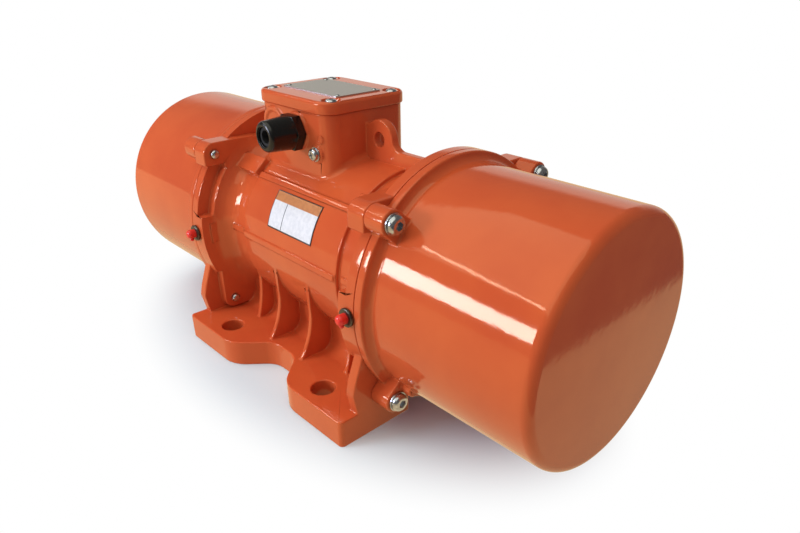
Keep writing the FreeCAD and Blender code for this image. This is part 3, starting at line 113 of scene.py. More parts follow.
def soft_box(name, place, width, height, radiance, tint=(1, 1, 1)):
    """A rectangular lamp that looks at the motor; its power follows from how bright it looks."""
    lamp = bpy.data.lights.new(name, "AREA")
    lamp.shape = "RECTANGLE"
    lamp.size = width
    lamp.size_y = height
    lamp.energy = radiance * math.pi * width * height
    lamp.color = tint
    box = bpy.data.objects.new(name, lamp)
    bpy.context.scene.collection.objects.link(box)
    box.location = place
    towards = Vector((0, 0, 0.1)) - place
    box.rotation_euler = towards.to_track_quat("-Z", "Y").to_euler()
    return box


soft_box("overhead", place_at(-12, 67, 1.9), 2.9, 2.3, 1.15, (1.0, 1.0, 0.84))
soft_box("window", place_at(-29, 14, 1.5), 0.6, 0.28, 26, (0.76, 0.8, 1.0))
soft_box("tube", place_at(-46, 36.5, 1.5), 1.3, 0.015, 26)

# %% [markdown]
# ### The room
# To the eye the background is plain white. Polished things see a room instead: a pale, warm
# wall at the back left, up to a third of the way to the ceiling, and a dim room elsewhere.
# Rough surfaces get an even, soft glow from all sides.

# %% World
world = bpy.data.worlds.new("studio")
bpy.context.scene.world = world
world.use_nodes = True


def add_node(tree, kind, settings=None, links=None):
    """Adds a node, sets its properties and inputs, and feeds inputs from other sockets."""
    node = tree.nodes.new(kind)
    for name, value in (settings or {}).items():
        if isinstance(name, str) and hasattr(node, name):
            setattr(node, name, value)
        else:
            node.inputs[name].default_value = value
    for name, socket in (links or {}).items():
        tree.links.new(socket, node.inputs[name])
    return node


tree = world.node_tree
tree.nodes.clear()
path = add_node(tree, "ShaderNodeLightPath")
seen = add_node(tree, "ShaderNodeMath", {"operation": "MAXIMUM"},
                {0: path.outputs["Is Camera Ray"], 1: path.outputs["Is Transmission Ray"]})
direction = add_node(tree, "ShaderNodeSeparateXYZ", links={
    0: add_node(tree, "ShaderNodeTexCoord").outputs["Generated"]})
below_edge = add_node(tree, "ShaderNodeMapRange", {"interpolation_type": "SMOOTHSTEP",
                      1: 0.30, 2: 0.42, 3: 1.0, 4: 0.0}, {0: direction.outputs["Z"]})
leftwards = add_node(tree, "ShaderNodeMapRange", {"interpolation_type": "SMOOTHSTEP",
                     1: -0.2, 2: 0.35, 3: 1.0, 4: 0.0}, {0: direction.outputs["X"]})
backwards = add_node(tree, "ShaderNodeMapRange", {"interpolation_type": "SMOOTHSTEP",
                     1: -0.1, 2: 0.3, 3: 0.0, 4: 1.0}, {0: direction.outputs["Y"]})
corner = add_node(tree, "ShaderNodeMath", {"operation": "MULTIPLY"},
                  {0: leftwards.outputs[0], 1: backwards.outputs[0]})
wall = add_node(tree, "ShaderNodeMath", {"operation": "MULTIPLY"},
                {0: corner.outputs[0], 1: below_edge.outputs[0]})
wall_strength = add_node(tree, "ShaderNodeMapRange", {3: 0.16, 4: 0.8}, {0: wall.outputs[0]})
white = add_node(tree, "ShaderNodeBackground", {"Color": (1, 1, 1, 1), "Strength": 1.0})
room = add_node(tree, "ShaderNodeBackground", {"Color": (1.0, 0.9, 0.8, 1)},
                {"Strength": wall_strength.outputs[0]})
glow = add_node(tree, "ShaderNodeBackground", {"Color": (0.98, 0.9, 1.2, 1), "Strength": 0.42})
mirrored = add_node(tree, "ShaderNodeMixShader", links={
    0: path.outputs["Is Glossy Ray"], 1: glow.outputs[0], 2: room.outputs[0]})
sky = add_node(tree, "ShaderNodeMixShader", links={
    0: seen.outputs[0], 1: mirrored.outputs[0], 2: white.outputs[0]})
add_node(tree, "ShaderNodeOutputWorld", links={"Surface": sky.outputs[0]})
print("world of", len(tree.nodes), "nodes")

# %% [markdown]
# ## Finishes
# Every finish starts from the real material and how its surface was made. Colours are
# written as sRGB hex and turned to the linear values that the shader wants.

# %% Colour and material helpers
def colour(code):
    """sRGB hex to a linear RGBA colour."""
    parts = [int(code[i:i + 2], 16) / 255 for i in (1, 3, 5)]
    linear = [c / 12.92 if c <= 0.04045 else ((c + 0.055) / 1.055) ** 2.4 for c in parts]
    return (*linear, 1.0)


def new_material(name, **settings):
    """A material with one principled shader whose plain inputs are given by name."""
    material = bpy.data.materials.new(name)
    material.use_nodes = True
    material.node_tree.nodes.clear()
    shader = add_node(material.node_tree, "ShaderNodeBsdfPrincipled", {
        key.replace("_", " "): value for key, value in settings.items()})
    add_node(material.node_tree, "ShaderNodeOutputMaterial",
             links={"Surface": shader.outputs[0]})
    return material, material.node_tree, shader


def object_noise(tree, grain_mm, detail=2.0, stretch=(1, 1, 1)):
    """Noise whose grains are a real number of millimetres across on the object."""
    place = add_node(tree, "ShaderNodeTexCoord")
    spread = add_node(tree, "ShaderNodeMapping", {"Scale": stretch},
                      {"Vector": place.outputs["Object"]})
    return add_node(tree, "ShaderNodeTexNoise",
                    {"Scale": 1 / (grain_mm * MM), "Detail": detail},
                    {"Vector": spread.outputs[0]})


def two_tones(tree, noise, dark, light, low=0.35, high=0.65):
    """Spreads two near colours over the surface by a noise."""
    ramp = add_node(tree, "ShaderNodeValToRGB", links={0: noise.outputs[0]})
    ramp.color_ramp.elements[0].position = low
    ramp.color_ramp.elements[0].color = colour(dark)
    ramp.color_ramp.elements[1].position = high
    ramp.color_ramp.elements[1].color = colour(light)
    return ramp


def roughness_between(tree, noise, smooth, rough):
    """Roughness that wanders between two values with a noise."""
    spread = add_node(tree, "ShaderNodeMapRange", {3: smooth, 4: rough}, {0: noise.outputs[0]})
    return spread.outputs[0]


def bump_from(tree, noise, height_mm, after=None):
    """Bumps of a real height, on top of an earlier bump if there is one."""
    links = {"Height": noise.outputs[0]}
    if after:
        links["Normal"] = after.outputs[0]
    return add_node(tree, "ShaderNodeBump", {"Strength": 1.0, "Distance": height_mm * MM}, links)


# %% [markdown]
# ### Orange-red enamel
# A two-pack gloss enamel sprayed over a casting. The sand-cast skin shows through as faint
# waves, the spray leaves orange peel, and the paint is glossy enough to mirror the room.

# %% Enamel
enamel, tree, shader = new_material("gloss_enamel_over_casting", Metallic=0.0, IOR=1.5,
                                    Specular_Tint=(1.0, 0.8, 0.52, 1.0))
tone = two_tones(tree, object_noise(tree, 45, 3), "#C4522C", "#CB5A2F")
wear = object_noise(tree, 9, 3)
tree.links.new(tone.outputs[0], shader.inputs["Base Color"])
tree.links.new(roughness_between(tree, wear, 0.05, 0.1), shader.inputs["Roughness"])
waves = bump_from(tree, object_noise(tree, 7, 1), 0.05)
peel = bump_from(tree, object_noise(tree, 1.6, 1), 0.012, waves)
tree.links.new(peel.outputs[0], shader.inputs["Normal"])

# %% [markdown]
# ### Metals
# Zinc-plated screws are pale and slightly cloudy. Ground shaft steel carries fine turning
# lines across X. The weights are flame-cut plate, and the sheet packets show their edges.

# %% Metals
def metal(name, dark, light, smooth, rough, grain_mm, stretch=(1, 1, 1), depth_mm=0.004):
    """A bare metal in two near tones, with grains and bumps of a real size."""
    material, tree, shader = new_material(name, Metallic=1.0)
    noise = object_noise(tree, grain_mm, 3, stretch)
    tone = two_tones(tree, noise, dark, light)
    tree.links.new(tone.outputs[0], shader.inputs["Base Color"])
    tree.links.new(roughness_between(tree, noise, smooth, rough), shader.inputs["Roughness"])
    tree.links.new(bump_from(tree, noise, depth_mm).outputs[0], shader.inputs["Normal"])
    return material


zinc = metal("zinc_plated_steel", "#AFB4BA", "#CED3D9", 0.18, 0.32, 2.5)
ground_steel = metal("ground_steel", "#A9AAAD", "#C4C5C8", 0.18, 0.3, 1.5, (6, 1, 1))
cut_plate = metal("flame_cut_plate", "#6A6867", "#87868A", 0.4, 0.6, 4, depth_mm=0.02)
sheet_packet = metal("sheet_packet", "#6E7075", "#8C8E92", 0.35, 0.5, 1.2, (8, 1, 1), 0.02)
cast_aluminium = metal("cast_aluminium", "#A5A7AA", "#BDBFC2", 0.35, 0.5, 2)
copper_wire = metal("varnished_copper_wire", "#8E4A26", "#B4683A", 0.25, 0.4, 1.5, (1, 4, 4), 0.08)
turned_brass = metal("turned_brass", "#B08D4A", "#C9A860", 0.2, 0.35, 1.5)
satin_plate = metal("satin_aluminium_plate", "#BFC3C0", "#CDD0CC", 0.32, 0.42, 1.0, (1, 12, 1))
dark_steel = metal("blackened_steel", "#4E4C48", "#6A6862", 0.25, 0.4, 1.5)
bare_iron = metal("machined_cast_iron", "#606163", "#77787A", 0.35, 0.5, 2)


# %% [markdown]
# ### Plastics and rubber
# The gland is moulded black nylon with a fine spark-eroded grain. The grease caps are soft
# red polythene. Seals are matt black rubber. The label is a film in three plain colours.

# %% Plastics and rubber
def moulded(name, dark, light, smooth, rough, grain_mm, depth_mm):
    """A plastic, rubber or film in two near tones, with a fine grain of a real size."""
    material, tree, shader = new_material(name, Metallic=0.0, IOR=1.5)
    noise = object_noise(tree, grain_mm, 2)
    tone = two_tones(tree, noise, dark, light)
    tree.links.new(tone.outputs[0], shader.inputs["Base Color"])
    tree.links.new(roughness_between(tree, noise, smooth, rough), shader.inputs["Roughness"])
    tree.links.new(bump_from(tree, noise, depth_mm).outputs[0], shader.inputs["Normal"])
    return material


black_nylon = moulded("moulded_black_nylon", "#070908", "#0C0E0D", 0.2, 0.3, 0.8, 0.008)
red_polythene = moulded("red_polythene", "#DB2416", "#E8301F", 0.28, 0.36, 2.0, 0.01)
seal_rubber = moulded("seal_rubber", "#151515", "#1F1F1F", 0.7, 0.85, 0.8, 0.02)
label_silver = moulded("silver_label_film", "#D0D0CC", "#DDDCD7", 0.3, 0.38, 3.0, 0.004)
label_amber = moulded("amber_label_print", "#B4703A", "#C07A40", 0.32, 0.4, 3.0, 0.004)
label_ink = moulded("dark_label_print", "#2A2522", "#332D29", 0.35, 0.42, 3.0, 0.004)

SLOT_FINISH = {
    "enamel": enamel,
    "machined_steel": ground_steel,
    "weight_steel": cut_plate,
    "zinc_plate": zinc,
    "bare_iron": bare_iron,
    "seal_rubber": seal_rubber,
    "red_plastic": red_polythene,
    "sheet_steel": sheet_packet,
    "copper": copper_wire,
    "cast_aluminium": cast_aluminium,
    "plate_aluminium": satin_plate,
    "black_plastic": black_nylon,
    "brass": turned_brass,
    "label_film": label_silver,
}
for part in frame["record"]["subparts"]:
    mesh = nodes[part["node"]].data
    mesh.materials.clear()
    mesh.materials.append(SLOT_FINISH[part["material_slot"]])

# %% [markdown]
# ## Working by hand
# Each tool below stands for something done with the mouse: pick one object, go into edit
# mode, or round its edges. Operators act on all that is selected, so each starts clean.

# %% Hand tools
def pick(*pieces):
    """Selects only these pieces and makes the first one active."""
    bpy.ops.object.select_all(action="DESELECT")
    for piece in pieces:
        piece.select_set(True)
    bpy.context.view_layer.objects.active = pieces[0]
    return pieces[0]


def reach_behind(face, edge):
    """How far a face reaches back from one of its edges."""
    start = edge.verts[0].co
    along = (edge.verts[1].co - start).normalized()
    return max(((corner.co - start) - along * (corner.co - start).dot(along)).length
               for corner in face.verts)


def shade(piece):
    """Smooth shading up to 40 degrees, with large faces leading the small ones beside them."""
    pick(piece)
    bpy.ops.object.shade_smooth_by_angle(angle=math.radians(40))
    even = piece.modifiers.new("even", "WEIGHTED_NORMAL")
    even.keep_sharp = True
    bpy.ops.object.modifier_apply(modifier=even.name)
    return piece


def finish_edges(piece, width, steps=2, corner=30):
    """Rounds edges sharper than the corner angle, except at steps too low to hold a radius."""
    shape = bmesh.new()
    shape.from_mesh(piece.data)
    weight = shape.edges.layers.float.new("bevel_weight_edge")
    for edge in shape.edges:
        sharp = len(edge.link_faces) == 2 and edge.calc_face_angle(0) > math.radians(corner)
        edge[weight] = float(sharp and all(reach_behind(face, edge) > width * 0.6
                                           for face in edge.link_faces))
    shape.to_mesh(piece.data)
    shape.free()
    pick(piece)
    bevel = piece.modifiers.new("edges", "BEVEL")
    bevel.width = width
    bevel.segments = steps
    bevel.limit_method = "WEIGHT"
    bevel.use_clamp_overlap = False
    bpy.ops.object.modifier_apply(modifier=bevel.name)
    return shade(piece)


def dress(piece, material, body, *replaced):
    """Gives a piece its finish and its body, and hides the CAD nodes it is shown for."""
    piece.data.materials.clear()
    piece.data.materials.append(material)
    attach(piece, body)
    if replaced:
        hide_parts(*replaced)
    return piece


# %% Tools for edit mode
def add_primitive(kind, name, **settings):
    """Adds a primitive with nothing else selected and names it."""
    bpy.ops.object.select_all(action="DESELECT")
    getattr(bpy.ops.mesh, f"primitive_{kind}_add")(**settings)
    bpy.ops.object.transform_apply(location=True, rotation=True, scale=True)
    piece = bpy.context.active_object
    piece.name = name
    return piece


def choose(piece, kind, test):
    """In edit mode, selects the faces or edges whose middle passes the test."""
    bpy.ops.mesh.select_mode(type=kind)
    bpy.ops.mesh.select_all(action="DESELECT")
    shape = bmesh.from_edit_mesh(piece.data)
    for item in (shape.faces if kind == "FACE" else shape.edges):
        middle = sum((corner.co for corner in item.verts), Vector()) / len(item.verts)
        if test(middle):
            item.select_set(True)
    shape.select_flush_mode()
    bmesh.update_edit_mesh(piece.data)


def combine(piece, other, operation="DIFFERENCE"):
    """Cuts a closed shape out of a piece, or with UNION welds it on."""
    pick(piece)
    step = piece.modifiers.new("combine", "BOOLEAN")
    step.operation = operation
    step.solver = "EXACT"
    step.object = other
    bpy.ops.object.modifier_apply(modifier=step.name)
    bpy.data.objects.remove(other)
    return piece


def settle(piece, place, turn=(0, 0, 0)):
    """Puts a piece in its place and moves that place into its mesh."""
    piece.location = place
    piece.rotation_euler = turn
    pick(piece)
    bpy.ops.object.transform_apply(location=True, rotation=True, scale=True)
    return piece


def copies_of(model, name, places):
    """Copies a piece to each (place, spin about its own Z, tilt) and joins the copies."""
    twins = []
    for place, spin, tilt in places:
        pick(model)
        bpy.ops.object.duplicate()
        twin = settle(bpy.context.active_object, (0, 0, 0), (0, 0, spin))
        twins.append(settle(twin, place, tilt))
    bpy.data.objects.remove(model)
    pick(*twins)
    bpy.ops.object.join()
    joined = bpy.context.active_object
    joined.name = name
    return joined


# %% [markdown]
# ## Cast and painted shells
# A sand casting has no sharp edge anywhere: the pattern is rounded so that it leaves the
# sand. A copy of the CAD solid is welded, its flat faces are joined up again, and every
# edge that has room for it is rolled over by a small radius.

# %% Rounded castings
def welded_copy(name, node):
    """A copy of a CAD solid with its corners merged and its flat faces joined up again."""
    pick(nodes[node])
    bpy.ops.object.duplicate()
    piece = bpy.context.active_object
    piece.name = name
    piece.parent = None
    for key in list(piece.keys()):
        del piece[key]
    bpy.ops.object.mode_set(mode="EDIT")
    bpy.ops.mesh.select_all(action="SELECT")
    bpy.ops.mesh.remove_doubles(threshold=0.01 * MM)
    bpy.ops.mesh.dissolve_limited(angle_limit=math.radians(0.6))
    bpy.ops.object.mode_set(mode="OBJECT")
    return piece


def rounded_copy(name, node, width, steps=2):
    """A copy of a CAD solid with its edges rolled over."""
    return finish_edges(welded_copy(name, node), width, steps)


lid = rounded_copy("lid_shell", "terminal_box_lid", 0.8 * MM)
dress(lid, enamel, "frame", "terminal_box_lid")
print(lid.name, len(lid.data.polygons), "faces")

# %% [markdown]
# ### End flanges
# Each end of the barrel carries a round disc, and the cover has a rim of the same radius.
# The four screws sit in ears that stand out of both like thumbs, and the disc runs on
# between them. On the casting, what stands out below the upper ears is trimmed back, and the
# disc is added as a ring. It is a closed shell of its own, sunk into the casting.

# %% Flange discs on the casting
SIDES = (("left", -1), ("right", 1))
ALONG_X = (0, math.radians(90), 0)
axis_z = 90 * MM
disc_radius = 86.5 * MM
disc_inner = 91.7 * MM
disc_outer = 99.8 * MM
body_end = 100 * MM
far_side = 99 * MM
hair = 0.15 * MM
# the block beside each nipple: how high and how low it reaches, from the shaft axis
block_top = 14 * MM
block_bottom = -34 * MM
# ears: their middle from the shaft axis, and where they begin along it
ear_spot = Vector((0, 67.3 * MM, 60.7 * MM))
ear_radius = 8.5 * MM
ear_inner = 85 * MM
ear_bottom = ear_spot.z - ear_radius
# radii that the trimmed casting falls back to, and the hollows inside the ring
ledge_radius = 86.0 * MM
neck_radius = 77 * MM
pad_radius = 79.9 * MM
bore_radius = 68.5 * MM
recess_radius = 76.8 * MM
recess_start = 91.98 * MM
trim_start = 84.2 * MM
trim_inner, trim_outer = 60 * MM, 96 * MM


def disc(name, radius, start, end, sides=160):
    """A cylinder along X between two distances from the middle, on the shaft axis."""
    return add_primitive("cylinder", name, vertices=sides, radius=radius,
                         depth=abs(end - start), location=((start + end) / 2, 0, axis_z),
                         rotation=ALONG_X)


def block(name, start, end, inner, outer, bottom, top):
    """A box given by its ends along X, Y and, from the shaft axis, Z."""
    return add_primitive("cube", name, size=1, location=(
        (start + end) / 2, (inner + outer) / 2, axis_z + (bottom + top) / 2),
        scale=(abs(end - start), abs(outer - inner), top - bottom))


def trimmer(side, hand, end, radius, bottom, top):
    """What stands out of a radius below the upper ear: a block less a disc."""
    waste = block("waste", side * trim_start, side * end, hand * trim_inner, hand * trim_outer,
                  bottom, top)
    return combine(waste, disc("inside", radius, side * (trim_start - 5 * MM),
                               side * (end + 5 * MM)))


casting = welded_copy("casting", "motor_body")
rings = []
for _, out in SIDES:
    for hand in (-1, 1):
        combine(casting, trimmer(out, hand, body_end + 1 * MM, ledge_radius, 30 * MM, ear_bottom))
        combine(casting, trimmer(out, hand, disc_inner + hair, neck_radius, block_top + hair,
                                 ear_bottom - hair))
        pad = block("pad", out * 80 * MM, out * (ear_inner + 0.02 * MM), hand * trim_inner,
                    hand * trim_outer, -10 * MM, block_top + 2 * MM)
        combine(pad, disc("inside", pad_radius, out * 78 * MM, out * 88 * MM))
        combine(casting, pad)
    ring = disc("ring", disc_radius, out * (ear_inner - hair), out * disc_outer)
    for low_z, high_z in ((block_top, far_side), (-far_side, block_bottom)):
        combine(ring, block("waste", out * 80 * MM, out * disc_inner, -far_side, far_side,
                            low_z, high_z))
    combine(ring, disc("hole", bore_radius, out * 80 * MM, out * 110 * MM))
    combine(ring, disc("recess", recess_radius, out * recess_start, out * 110 * MM))
    rings.append(finish_edges(ring, 0.6 * MM))
finish_edges(casting, 1.0 * MM)
pick(casting, *rings)
bpy.ops.object.join()
dress(casting, enamel, "frame", "motor_body")
print(casting.name, len(casting.data.polygons), "faces")

# %% [markdown]
# ### Weight covers
# A cover is a deep drawn cup with a rim. One cylinder is the rim: its outer face is inset and
# drawn out into the tube, its inner face is drawn in to hollow it, and the ears are welded on.

# %% Weight covers
cover_radius = 80 * MM
cover_wall = 3 * MM
rim_end = 106.5 * MM
rim_fillet = 4.5 * MM
cover_end = 226 * MM
end_round = 6 * MM
ear_end = 116 * MM
CORNERS = ((1, 1), (-1, 1), (-1, -1), (1, -1))


def ear_thumb(name, radius, pitch, start, end, hand, lift):
    """A round-nosed bar along X whose flat side reaches in towards the shaft."""
    thumb = add_primitive("cylinder", name, vertices=40, radius=radius, depth=end - start,
                          location=(0, 0, (start + end) / 2))
    bpy.ops.object.mode_set(mode="EDIT")
    choose(thumb, "VERT", lambda middle: middle.x < -1e-6)
    bpy.ops.transform.translate(value=(-14 * MM, 0, 0))
    bpy.ops.object.mode_set(mode="OBJECT")
    slope = math.atan2(ear_spot.z * lift, ear_spot.y * hand)
    settle(thumb, (pitch * math.cos(slope), pitch * math.sin(slope), 0), (0, 0, slope))
    return thumb


for side, out in SIDES:
    cover = add_primitive("cylinder", f"cover_shell_{side}", vertices=160, radius=disc_radius,
                          depth=rim_end - body_end, location=(0, 0, (rim_end + body_end) / 2))
    bpy.ops.object.mode_set(mode="EDIT")
    choose(cover, "FACE", lambda middle: middle.z > rim_end - 1e-6)
    bpy.ops.mesh.inset(thickness=disc_radius - cover_radius)
    bpy.ops.mesh.extrude_region_move(
        TRANSFORM_OT_translate={"value": (0, 0, cover_end - rim_end)})
    choose(cover, "EDGE", lambda middle: middle.z > cover_end - 1e-6)
    bpy.ops.mesh.bevel(offset=end_round, segments=8, profile=0.5, affect="EDGES")
    choose(cover, "EDGE", lambda middle: abs(middle.z - rim_end) < 1e-6
           and middle.length < math.hypot(rim_end, cover_radius + 1 * MM))
    bpy.ops.mesh.bevel(offset=rim_fillet, segments=6, profile=0.5, affect="EDGES")
    choose(cover, "FACE", lambda middle: middle.z < body_end + 1e-6)
    bpy.ops.mesh.inset(thickness=disc_radius - cover_radius + cover_wall)
    bpy.ops.mesh.extrude_region_move(
        TRANSFORM_OT_translate={"value": (0, 0, cover_end - body_end - cover_wall)})
    # two cuts just past the ears keep their small faces from streaking the long tube
    for along in (118 * MM, 130 * MM):
        bpy.ops.mesh.select_all(action="SELECT")
        bpy.ops.mesh.bisect(plane_co=(0, 0, along), plane_no=(0, 0, 1))
    bpy.ops.object.mode_set(mode="OBJECT")
    for hand, lift in CORNERS:
        if lift * out < 0:
            fairing = ear_thumb("fairing", 5 * MM, 79 * MM, 104 * MM, 124 * MM, hand, lift)
            combine(cover, fairing, "UNION")
        ear = ear_thumb("ear", ear_radius, ear_spot.length, body_end, ear_end, hand, lift)
        combine(cover, ear, "UNION")
    finish_edges(cover, 1.1 * MM, 3)
    # local X, Y, Z become Y, Z and the way out along the shaft
    settle(cover, (0, 0, 0), (0, 0, math.radians(90)))
    settle(cover, (0, 0, axis_z), (0, math.radians(90 * out), 0))
    dress(cover, enamel, "frame", f"weight_cover_{side}")
    print(cover.name, len(cover.data.polygons), "faces")

# %% [markdown]
# ## Screws
# The covers are held by zinc-plated button-head screws with a hexagon socket. The head is
# turned and then cold-pressed, so it is a smooth dome with a crisp socket. A cylinder gets
# its top edge beveled into a dome, its underside drawn out into the shank, and a six-sided
# prism cut out of the top.

# %% Button-head screw
def button_screw(name, radius, height, socket, shank_radius, shank_length):
    """A button-head screw that points up, with its seat at zero and a hexagon socket."""
    head = add_primitive("cylinder", name, vertices=48, radius=radius, depth=height,
                         location=(0, 0, height / 2))
    bpy.ops.object.mode_set(mode="EDIT")
    choose(head, "EDGE", lambda middle: middle.z > height * 0.99)
    bpy.ops.mesh.bevel(offset=height * 0.72, segments=7, profile=0.5, affect="EDGES")
    choose(head, "EDGE", lambda middle: middle.z < height * 0.01)
    bpy.ops.mesh.bevel(offset=height * 0.06, segments=2, profile=0.5, affect="EDGES")
    choose(head, "FACE", lambda middle: middle.z < 1e-6)
    bpy.ops.mesh.inset(thickness=radius - height * 0.06 - shank_radius)
    bpy.ops.mesh.extrude_region_move(TRANSFORM_OT_translate={"value": (0, 0, -shank_length)})
    choose(head, "EDGE", lambda middle: middle.z < -shank_length * 0.99)
    bpy.ops.mesh.bevel(offset=shank_radius * 0.6, segments=4, profile=0.5, affect="EDGES")
    bpy.ops.object.mode_set(mode="OBJECT")
    key = add_primitive("cylinder", "key", vertices=6, radius=socket / math.sqrt(3),
                        depth=height * 1.2, location=(0, 0, height * 1.05))
    combine(head, key)
    pick(head)
    bpy.ops.object.shade_smooth_by_angle(angle=math.radians(35))
    return head


# %% Cover screws
screw_radius = 6.0 * MM
screw_height = 4.0 * MM
for side, out in SIDES:
    low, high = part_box(f"cover_screws_{side}")
    ear_y = high.y - screw_radius
    ear_up = (high.z - low.z) / 2 - screw_radius
    middle_z = (high.z + low.z) / 2
    outer = high.x if out > 0 else low.x
    screw = button_screw("screw", screw_radius, screw_height, 5.0 * MM, 3.4 * MM,
                         high.x - low.x - screw_height)
    places = []
    for step, (hand, lift) in enumerate(CORNERS):
        place = (outer - out * screw_height, hand * ear_y, middle_z + lift * ear_up)
        places.append((place, math.radians(17 * step), (0, math.radians(90 * out), 0)))
    heads = copies_of(screw, f"button_screws_{side}", places)
    dress(heads, zinc, "frame", f"cover_screws_{side}")
    rings = rounded_copy(f"washers_{side}", f"cover_washers_{side}", 0.25 * MM)
    dress(rings, zinc, "frame", f"cover_washers_{side}")
    print(heads.name, len(heads.data.polygons), "faces, ears at", round(ear_y, 4))

# %% Lid screws
low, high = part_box("lid_screws")
lid_head = 4.2 * MM
lid_head_height = 2.8 * MM
screw = button_screw("screw", lid_head, lid_head_height, 3.0 * MM, 2.5 * MM,
                     high.z - low.z - lid_head_height)
lid_corners = ((high.x, high.y), (low.x, high.y), (low.x, low.y), (high.x, low.y))
places = []
for step, (x, y) in enumerate(lid_corners):
    inwards_x = lid_head if x == low.x else -lid_head
    inwards_y = lid_head if y == low.y else -lid_head
    place = (x + inwards_x, y + inwards_y, high.z - lid_head_height)
    places.append((place, math.radians(23 * step), (0, 0, 0)))
lid_heads = copies_of(screw, "lid_button_screws", places)
dress(lid_heads, zinc, "frame", "lid_screws")
print(lid_heads.name, len(lid_heads.data.polygons), "faces")

# %% [markdown]
# ### Drive rivets
# The nameplate is held by round-head drive screws. Each head is a low dome that stands
# proud of the plate and throws a small shadow.

# %% Drive rivets
low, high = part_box("nameplate_rivets")
seat_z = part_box("nameplate")[1].z
sunk = 0.6 * MM
rivet_radius = 2.1 * MM
rivet = add_primitive("uv_sphere", "rivet", segments=24, ring_count=12, radius=rivet_radius,
                      location=(0, 0, 0))
bpy.ops.object.mode_set(mode="EDIT")
bpy.ops.mesh.select_all(action="SELECT")
bpy.ops.mesh.bisect(plane_co=(0, 0, 0), plane_no=(0, 0, 1), clear_inner=True, use_fill=True)
bpy.ops.mesh.select_all(action="SELECT")
bpy.ops.transform.resize(value=(1, 1, (high.z - seat_z + sunk) / rivet_radius),
                         center_override=(0, 0, 0))
bpy.ops.object.mode_set(mode="OBJECT")
bpy.ops.object.shade_smooth_by_angle(angle=math.radians(40))
inset = 1.6 * MM
places = [((x, y, seat_z - sunk), 0, (0, 0, 0))
          for x in (low.x + inset, high.x - inset) for y in (low.y + inset, high.y - inset)]
rivets = copies_of(rivet, "drive_rivets", places)
dress(rivets, zinc, "frame", "nameplate_rivets")
print(rivets.name, len(rivets.data.polygons), "faces")

# %% [markdown]
# ### Earth screw
# A pan-head screw with a cross slot clamps the earth wire to a bare pad on the box wall. It
# is modelled like the others, but its slot is cut by two crossed bars.

# %% Earth screw
low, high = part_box("earth_screw")
head_radius, head_height = 4.3 * MM, 3.0 * MM
shank_radius, shank_length = 2.5 * MM, 5 * MM
slot = (5.2 * MM, 1.0 * MM, 2.6 * MM)
earth = add_primitive("cylinder", "earth_pan_screw", vertices=40, radius=head_radius,
                      depth=head_height, location=(0, 0, head_height / 2))
bpy.ops.object.mode_set(mode="EDIT")
choose(earth, "EDGE", lambda middle: middle.z > head_height * 0.99)
bpy.ops.mesh.bevel(offset=1.6 * MM, segments=6, profile=0.5, affect="EDGES")
choose(earth, "FACE", lambda middle: middle.z < 1e-6)
bpy.ops.mesh.inset(thickness=head_radius - shank_radius)
bpy.ops.mesh.extrude_region_move(TRANSFORM_OT_translate={"value": (0, 0, -shank_length)})
bpy.ops.object.mode_set(mode="OBJECT")
for turn in (0, 90):
    bar = add_primitive("cube", "bar", size=1, location=(0, 0, head_height),
                        rotation=(0, 0, math.radians(turn)), scale=slot)
    combine(earth, bar)
pick(earth)
bpy.ops.object.shade_smooth_by_angle(angle=math.radians(35))
settle(earth, (0, 0, 0), (0, 0, math.radians(20)))
settle(earth, ((low.x + high.x) / 2, low.y + head_height, (low.z + high.z) / 2),
       (math.radians(90), 0, 0))
dress(earth, zinc, "frame", "earth_screw")
earth_ring = rounded_copy("earth_ring", "earth_washer", 0.2 * MM)
dress(earth_ring, zinc, "frame", "earth_washer")
print(earth.name, len(earth.data.polygons), "faces")

# %% [markdown]
# ## Cable gland
# A moulded nylon gland: a hexagon that is screwed into the wall, and a dome nut that
# squeezes a rubber seal onto the cable. The nut tapers a little and has a rounded nose with
# a shallow step around its mouth.

# %% Dome nut
low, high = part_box("gland_dome_nut")
nut_middle = Vector(((low.x + high.x) / 2, 0, (low.z + high.z) / 2))
nut_radius = (high.x - low.x) / 2
nut_length = high.y - low.y
nut_taper = 0.88
nose_round = 2.6 * MM
lip = 0.5 * MM
nut = add_primitive("cylinder", "gland_nut", vertices=72, radius=nut_radius, depth=nut_length,
                    location=(0, 0, nut_length / 2))
bpy.ops.object.mode_set(mode="EDIT")
choose(nut, "FACE", lambda middle: middle.z > nut_length * 0.99)
bpy.ops.transform.resize(value=(nut_taper, nut_taper, 1), center_override=(0, 0, nut_length))
choose(nut, "EDGE", lambda middle: middle.z > nut_length * 0.99)
bpy.ops.mesh.bevel(offset=nose_round, segments=7, profile=0.5, affect="EDGES")
choose(nut, "FACE", lambda middle: middle.z > nut_length * 0.999 and middle.xy.length < 1e-4)
bpy.ops.mesh.inset(thickness=lip)
bpy.ops.mesh.extrude_region_move(TRANSFORM_OT_translate={"value": (0, 0, -0.9 * MM)})
bpy.ops.mesh.inset(thickness=lip)
bpy.ops.mesh.extrude_region_move(TRANSFORM_OT_translate={"value": (0, 0, -11 * MM)})
bpy.ops.object.mode_set(mode="OBJECT")
finish_edges(nut, 0.15 * MM, 2, 40)
settle(nut, nut_middle + Vector((0, high.y, 0)), (math.radians(90), 0, 0))
dress(nut, black_nylon, "frame", "gland_dome_nut")
print(nut.name, len(nut.data.polygons), "faces")

# %% Hexagon
hexagon = rounded_copy("gland_hexagon", "gland_body", 0.6 * MM)
dress(hexagon, black_nylon, "frame", "gland_body")
print(hexagon.name, len(hexagon.data.polygons), "faces")

# %% [markdown]
# ## Grease caps
# Each grease nipple wears a soft red cap. It is a thimble with a rounded end and a lip, and
# a small knob hangs below it, to pull it off by. A dark steel collar stays round the nipple.

